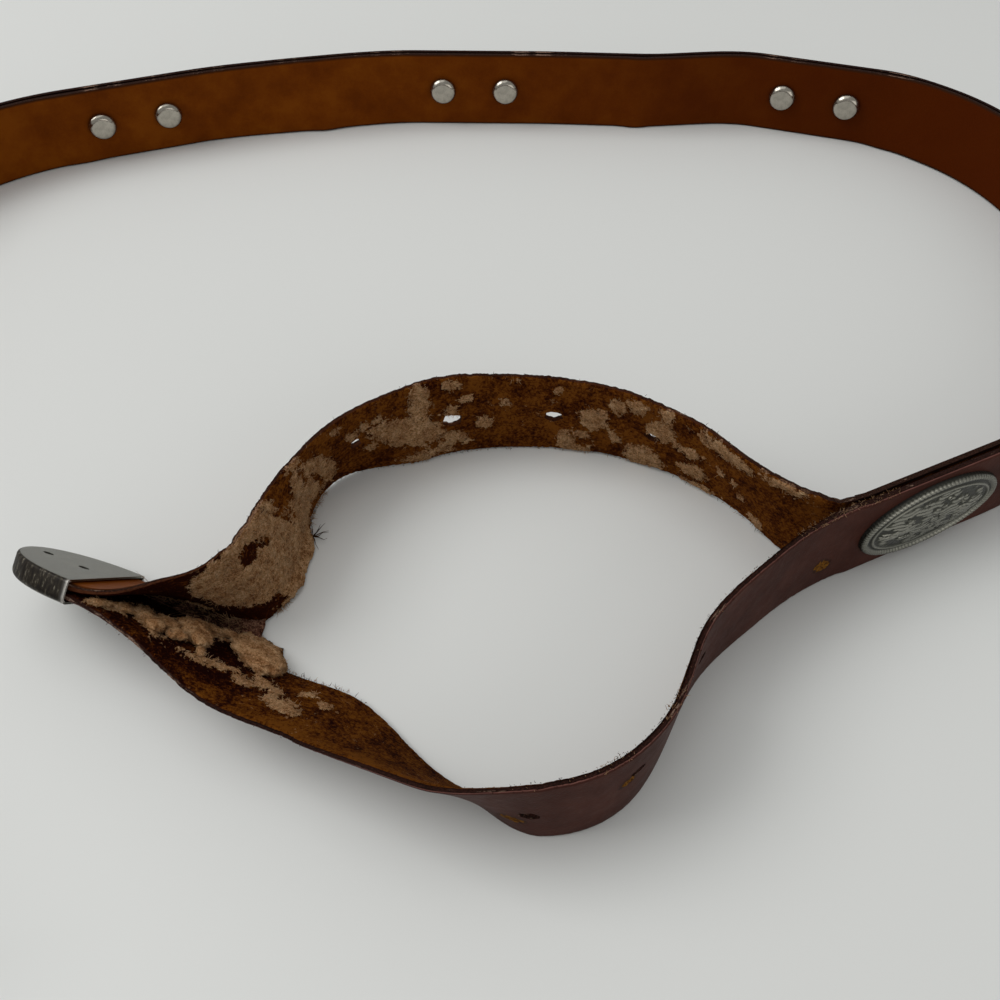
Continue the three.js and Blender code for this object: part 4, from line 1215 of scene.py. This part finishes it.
def frameAt(row):
    # where a concho sits: middle of the strap, along, up and out
    placed = placeRow(row)
    heading, tilt = placed["heading"], placed["lean"]
    along = np.array([math.cos(heading), math.sin(heading), 0])
    smooth = np.array([-math.sin(heading), math.cos(heading), 0])
    up = smooth * math.sin(tilt) + np.array([0, 0, math.cos(tilt)])
    foot = np.array([placed["x"] + belt["originX"], placed["y"] + belt["originY"],
                     placed["rise"] + halfPair * abs(math.sin(tilt))])
    return dict(middle=foot + up * belt["width"] / 2, along=along, up=up, out=np.cross(up, along))


def matrixOf(middle, axisX, axisY, axisZ):
    matrix = Matrix.Identity(4)
    for column, axis in enumerate((axisX, axisY, axisZ)):
        for k in range(3):
            matrix[k][column] = axis[k]
    for k in range(3):
        matrix[k][3] = middle[k] * mm
    return matrix


def addPiece(name, mesh, matrix, node):
    piece = bpy.data.objects.new(name, mesh)
    piece.matrix_world = matrix
    bpy.context.collection.objects.link(piece)
    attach(piece, "root")
    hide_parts(node)
    return piece


def castSilver():
    # old cast silver: bright where it is rubbed, nearly black in its recesses
    mat = Recipe("agedSilver")
    where = pieceWhere(mat)
    fine = mat.grain(where, 2.2, 5, 0.65)
    patina = mat.grain(where, 0.35, 4, 0.6)
    height = mat.attribute("relief") + (fine - 0.5) * 0.35 + (patina - 0.5) * 0.3
    shade = mat.ramp(height, [
        (0.08, (0.012, 0.012, 0.009)), (0.3, (0.042, 0.042, 0.034)),
        (0.55, (0.070, 0.070, 0.058)), (0.95, (0.25, 0.245, 0.21)),
    ])
    scratches = mat.grain(mat.stretch(where, (0.5, 4.0, 1.0)), 2.0, 4, 0.6)
    bump = mat.bump(fine * 0.7 + scratches * 0.3, 0.00012, 0.5)
    rough = 0.24 + (patina - 0.5) * 0.3 + (0.45 - height).atLeast(0) * 0.6
    return mat.close({"Base Color": shade, "Metallic": height.rise(0.02, 0.4) * 0.85 + 0.15,
                      "Roughness": rough, "Normal": bump})


def rubbedNickel(name, colour, roughness):
    mat = Recipe(name)
    where = pieceWhere(mat)
    haze = mat.grain(where, 0.45, 4, 0.6)
    scratches = mat.grain(mat.stretch(where, (6.0, 0.5, 1.0)), 1.5, 4, 0.7)
    shade = mat.ramp(haze * 0.7 + scratches * 0.3, [
        (0.3, tuple(c * 0.62 for c in colour)), (0.55, colour), (0.75, tuple(c * 1.15 for c in colour))])
    bump = mat.bump(scratches, 0.00004, 0.4)
    return mat.close({"Base Color": shade, "Metallic": 1.0, "Roughness": roughness + (haze - 0.5) * 0.25,
                      "Normal": bump})


def tipMetal():
    # brushed plates, a tarnished side with cross strokes and a painted highlight on the side's corner at the
    # mouth
    mat = Recipe("brushedTip")
    where = pieceWhere(mat)
    rim = mat.attribute("rim")
    strokes = mat.grain(mat.stretch(where, (0.25, 5.0, 5.0)), 1.6, 5, 0.7)
    haze = mat.grain(where, 0.22, 4, 0.6)
    plate = mat.ramp(strokes * 0.45 + haze * 0.55, [
        (0.3, (0.11, 0.106, 0.088)), (0.5, (0.175, 0.17, 0.145)), (0.7, (0.27, 0.262, 0.23))])
    tarnish = mat.ramp(mat.grain(mat.stretch(where, (1.2, 1.2, 0.4)), 1.1, 5, 0.7), [
        (0.40, (0.008, 0.005, 0.003)), (0.56, (0.026, 0.020, 0.012)), (0.70, (0.24, 0.22, 0.17))])
    dark = (rim + (haze - 0.5) * 0.35).rise(0.25, 0.6)
    shade = mat.blend(dark, plate, tarnish)
    # painted highlight: a pale glint on the side wall at the mouth
    paintedMouthGlint = mat.attribute("mouth") * rim.rise(0.0, 0.5)
    shade = mat.blend(paintedMouthGlint * 0.85, shade, (0.60, 0.58, 0.54))
    bump = mat.bump(strokes, 0.00006, 0.5)
    return mat.close({"Base Color": shade, "Metallic": 1.0 - dark * 0.35,
                      "Roughness": 0.34 + dark * 0.18 + (haze - 0.5) * 0.2, "Normal": bump})


agedSilver = castSilver()
nickel = rubbedNickel("polishedNickel", (0.41, 0.38, 0.325), 0.2)
tipSilver = tipMetal()
buckleNickel = rubbedNickel("buckleNickel", (0.50, 0.48, 0.44), 0.27)

conchoFace = conchoMesh()
conchoFace.materials.append(agedSilver)
capFace = capMesh()
capFace.materials.append(nickel)
conchoRows = [row for row in joinedRoute if row["concho"]]
for order, row in enumerate(conchoRows):
    number = len(conchoRows) - order
    spot = frameAt(row)
    axes = (-spot["along"], spot["up"], spot["out"])
    face = spot["middle"] + spot["out"] * (belt["gap"] / 2 + belt["outer"] + belt["clearance"])
    addPiece(f"conchoFace{number}", conchoFace, matrixOf(face, *axes), f"concho_{number}")
    for letter, way in (("a", 1), ("b", -1)):
        back = spot["middle"] + spot["along"] * way * concho["postSpacing"] / 2
        back = back - spot["out"] * (belt["gap"] / 2 + belt["lining"] + belt["clearance"] + cap["height"])
        addPiece(f"capDome{number}{letter}", capFace, matrixOf(back, *axes),
                 f"rivet_cap_{number}{letter}")
print("conchos made:", len(conchoFace.polygons), "faces each")


# tip

tip = {
    "length": 22, "width": 26.4, "thickness": 5.5, "wall": 0.5, "straight": 2,
    "roundBack": 0.7, "roundFront": 1.6,
    "holeLong": 2.6, "holeWide": 1.7, "holeInset": 6.8, "holeSpacing": 9.8, "around": 96, "plateRows": 14,
    "strokeDepth": 0.14, "strokeTurn": 1.9,
}


def tipPath(inset, count):
    # once along the tip's outline at an inset, from the mouth's lower corner to its upper corner
    half = tip["width"] / 2 - inset
    reach = tip["length"] - tip["straight"] - inset
    path = [(tip["straight"] * k / 3, -half) for k in range(3)]
    for k in range(count + 1):
        angle = -math.pi / 2 + math.pi * k / count
        path.append((tip["straight"] + reach * math.cos(angle), half * math.sin(angle)))
    return path + [(tip["straight"] * (2 - k) / 3, half) for k in range(3)]


def tipProfile(inset):
    # section from the middle of the back plate round the side to the middle of the front: inset, height
    half = tip["thickness"] / 2 - inset
    middle = tip["width"] / 2
    roundBack = max(tip["roundBack"] - inset, 0.15)
    roundFront = max(tip["roundFront"] - inset, 0.15)
    rows = [(middle - (middle - inset - roundBack) * k / tip["plateRows"], half)
            for k in range(tip["plateRows"])]
    for k in range(7):
        angle = math.pi / 2 * k / 6
        rows.append((inset + roundBack * (1 - math.sin(angle)), half - roundBack * (1 - math.cos(angle))))
    for k in range(9):
        angle = math.pi / 2 * k / 8
        rows.append((inset + roundFront * (1 - math.cos(angle)), -half + roundFront * (1 - math.sin(angle))))
    rows += [(inset + roundFront + (middle - inset - roundFront) * (k + 1) / tip["plateRows"], -half)
             for k in range(tip["plateRows"])]
    return rows


def tipMesh():
    verts, faces, rims, mouths = [], [], [], []
    grids = []
    for inset in (0.0, tip["wall"]):
        grid = []
        for rowInset, height in tipProfile(inset):
            line = []
            for step, (x, y) in enumerate(tipPath(min(rowInset, tip["width"] / 2 - 0.001), tip["around"])):
                line.append(len(verts))
                onRim = 1 - soft(rowInset - inset, 0.15, 0.8)
                stroke = tip["strokeDepth"] * onRim * abs(math.sin(step * tip["strokeTurn"])) * (inset == 0)
                verts.append((x - stroke * (x > tip["straight"]), y * (1 - stroke / tip["width"]), height))
                rims.append(onRim)
                mouths.append(1 - soft(x, 0.3, 0.75))
            grid.append(line)
        grids.append(grid)
    for grid, flip in zip(grids, (False, True)):
        for low, high in zip(grid, grid[1:]):
            for k in range(len(low) - 1):
                quad = (low[k], low[k + 1], high[k + 1], high[k])
                faces.append(quad[::-1] if flip else quad)
    for end in (0, -1):
        for (a, b), (c, d) in zip(zip(grids[0], grids[0][1:]), zip(grids[1], grids[1][1:])):
            quad = (a[end], b[end], d[end], c[end])
            faces.append(quad if end == 0 else quad[::-1])
    mesh = bpy.data.meshes.new("tipShell")
    mesh.from_pydata((np.array(verts) * mm).tolist(), [], faces)
    for key, values in (("rim", rims), ("mouth", mouths)):
        mesh.attributes.new(key, "FLOAT", "POINT").data.foreach_set("value", values)
    work = bmesh.new()
    work.from_mesh(mesh)
    bmesh.ops.remove_doubles(work, verts=work.verts, dist=0.00001)
    bmesh.ops.dissolve_degenerate(work, edges=work.edges, dist=0.000001)
    bmesh.ops.recalc_face_normals(work, faces=work.faces)
    work.to_mesh(mesh)
    work.free()
    return mesh


def punched(mesh):
    # the two pin holes, cut through the plate on the lining side
    shell = bpy.data.objects.new("tipBlank", mesh)
    bpy.context.collection.objects.link(shell)
    pinMesh = bpy.data.meshes.new("tipPins")
    work = bmesh.new()
    for step in (0, 1):
        middle = Vector((tip["holeInset"] + tip["holeSpacing"] * step, 0, tip["thickness"] / 2))
        spot = Matrix.Translation(middle * mm)
        size = Matrix.Diagonal((tip["holeLong"] * mm, tip["holeWide"] * mm, tip["wall"] * 3 * mm, 1))
        bmesh.ops.create_cone(work, cap_ends=True, segments=28, radius1=0.5, radius2=0.5, depth=1,
                              matrix=spot @ size)
    work.to_mesh(pinMesh)
    work.free()
    pins = bpy.data.objects.new("tipPins", pinMesh)
    bpy.context.collection.objects.link(pins)
    cutter = shell.modifiers.new("pins", "BOOLEAN")
    cutter.operation = "DIFFERENCE"
    cutter.solver = "EXACT"
    cutter.object = pins
    done = bpy.data.meshes.new_from_object(shell.evaluated_get(bpy.context.evaluated_depsgraph_get()))
    for helper in (shell, pins):
        bpy.data.objects.remove(helper)
    done.name = "tipShell"
    done.polygons.foreach_set("use_smooth", [True] * len(done.polygons))
    done.set_sharp_from_angle(angle=math.radians(40))
    return done


mouthSpot = {key: routes["lining"][key][-1] for key in ("middle", "along", "up", "out")}
tipAt = mouthSpot["middle"] - mouthSpot["along"] * belt["tipGrip"]
tipShell = punched(tipMesh())
tipShell.materials.append(tipSilver)
tipMatrix = matrixOf(tipAt, mouthSpot["along"], mouthSpot["up"], -mouthSpot["out"])
addPiece("tipShell", tipShell, tipMatrix, "belt_tip")
print("tip made:", len(tipShell.polygons), "faces")


# buckle

buckle = {
    "length": 36, "height": 34, "rim": 3.6, "corner": 5, "thickness": 3.4,
    "bar": 4, "prong": 3, "around": 20,
}


def sweep(path, sections):
    # a closed tube: path holds points with their side axis, sections hold half sizes across and through
    verts, faces = [], []
    n = buckle["around"]
    for (point, sideAxis), (across, through) in zip(path, sections):
        for k in range(n):
            turn = 2 * math.pi * k / n
            c, q = math.cos(turn), math.sin(turn)
            bulge = (abs(c) ** 3 + abs(q) ** 3) ** (-1 / 3)
            verts.append((point[0] + sideAxis[0] * across * c * bulge,
                          point[1] + sideAxis[1] * across * c * bulge,
                          point[2] + through * q * bulge))
    for i in range(len(path) - 1):
        for k in range(n):
            a, b = i * n + k, i * n + (k + 1) % n
            faces.append((a, b, b + n, a + n))
    faces.append(tuple(reversed(range(n))))
    faces.append(tuple((len(path) - 1) * n + k for k in range(n)))
    return verts, faces


def buckleMesh():
    rim, corner = buckle["rim"], buckle["corner"] - buckle["rim"] / 2
    x1 = buckle["length"] - rim
    y1 = buckle["height"] / 2 - rim / 2
    frameEnd = belt["width"] / 2 + belt["clearance"]
    path = [((0, -frameEnd, 0), (-1, 0))]
    for cx, cy, start in ((corner, -y1 + corner, 180), (x1 - corner, -y1 + corner, 270),
                          (x1 - corner, y1 - corner, 0), (corner, y1 - corner, 90)):
        for k in range(9):
            turn = math.radians(start + 90 * k / 8)
            path.append(((cx + corner * math.cos(turn), cy + corner * math.sin(turn), 0),
                         (math.cos(turn), math.sin(turn))))
    path.append(((0, frameEnd, 0), (-1, 0)))
    verts, faces = sweep(path, [(rim / 2, buckle["thickness"] / 2)] * len(path))
    barHalf = (belt["width"] + rim) / 2
    bar = [((0, y, 0), (-1, 0)) for y in (-barHalf, barHalf)]
    more, moreFaces = sweep(bar, [(buckle["bar"] / 2 - 0.2, belt["lining"] / 2)] * 2)
    faces += [tuple(v + len(verts) for v in face) for face in moreFaces]
    verts += more
    reach = buckle["length"] - rim
    prong, sizes = [], []
    for k in range(15):
        share = k / 14
        prong.append(((reach * share, 0, 0.5 * math.sin(math.pi * share)), (0, 1)))
        sizes.append((buckle["prong"] / 2 * (1 - 0.35 * share ** 2),
                      belt["lining"] / 2 * (1 - 0.3 * share ** 2)))
    more, moreFaces = sweep(prong, sizes)
    faces += [tuple(v + len(verts) for v in face) for face in moreFaces]
    verts += more
    mesh = bpy.data.meshes.new("buckleFrame")
    mesh.from_pydata((np.array(verts) * mm).tolist(), [], faces)
    work = bmesh.new()
    work.from_mesh(mesh)
    bmesh.ops.recalc_face_normals(work, faces=work.faces)
    work.to_mesh(mesh)
    work.free()
    mesh.polygons.foreach_set("use_smooth", [True] * len(mesh.polygons))
    mesh.set_sharp_from_angle(angle=math.radians(50))
    return mesh


strapStart = {key: routes["outer"][key][0] for key in ("middle", "along", "up", "out")}
barAt = strapStart["middle"] - strapStart["along"] * (belt["barWidth"] / 2 + belt["clearance"])
barAt = barAt + strapStart["out"] * liningAt
buckleFrame = buckleMesh()
buckleFrame.materials.append(buckleNickel)
buckleMatrix = matrixOf(barAt, -strapStart["along"], strapStart["up"], strapStart["out"])
addPiece("buckleFrame", buckleFrame, buckleMatrix, "buckle")
print("buckle made:", len(buckleFrame.polygons), "faces")


# camera, light and floor

stage = {
    "eye": (13.43, -198.64, 192.4), "pitch": 50, "lens": 36, "sensor": 36,
    "floorSize": 6.0, "floorColour": (0.735, 0.745, 0.73),
}

cameraData = bpy.data.cameras.new("camera")
cameraData.lens = stage["lens"]
cameraData.sensor_width = stage["sensor"]
cameraData.clip_start = 0.01
camera = bpy.data.objects.new("camera", cameraData)
camera.location = Vector(stage["eye"]) * mm
camera.rotation_euler = (math.radians(90 - stage["pitch"]), 0, 0)
bpy.context.collection.objects.link(camera)
bpy.context.scene.camera = camera

floorMesh = bpy.data.meshes.new("floor")
half = stage["floorSize"] / 2
corners = [(-half, -half, 0), (half, -half, 0), (half, half, 0), (-half, half, 0)]
floorMesh.from_pydata(corners, [], [(0, 1, 2, 3)])
floor = bpy.data.objects.new("floor", floorMesh)
floor.location.z = -0.0002
bpy.context.collection.objects.link(floor)
floorPaint = Recipe("paleTable")
floorMesh.materials.append(floorPaint.close({"Base Color": stage["floorColour"], "Roughness": 0.5}))


def areaLight(name, place, aim, size, power, colour):
    data = bpy.data.lights.new(name, "AREA")
    data.shape = "RECTANGLE"
    data.size, data.size_y = size
    data.energy = power
    data.color = colour
    light = bpy.data.objects.new(name, data)
    light.location = place
    light.rotation_euler = (Vector(aim) - Vector(place)).to_track_quat("-Z", "Y").to_euler()
    bpy.context.collection.objects.link(light)


areaLight("windowLeft", (-1.15, 0.1, 1.2), (0, 0, 0), (1.1, 0.9), 12.5, (1.0, 1.0, 0.99))
areaLight("windowTop", (-0.3, 0.2, 2.0), (0, 0, 0), (1.8, 1.4), 6, (0.99, 1.0, 1.0))
areaLight("wallRight", (1.2, -1.4, 0.75), (0, 0, 0), (1.5, 1.1), 5, (1.0, 0.985, 0.96))

world = bpy.data.worlds.new("softRoom")
bpy.context.scene.world = world
world.use_nodes = True
background = world.node_tree.nodes["Background"]
background.inputs["Color"].default_value = (0.985, 0.985, 0.97, 1)
background.inputs["Strength"].default_value = 0.41
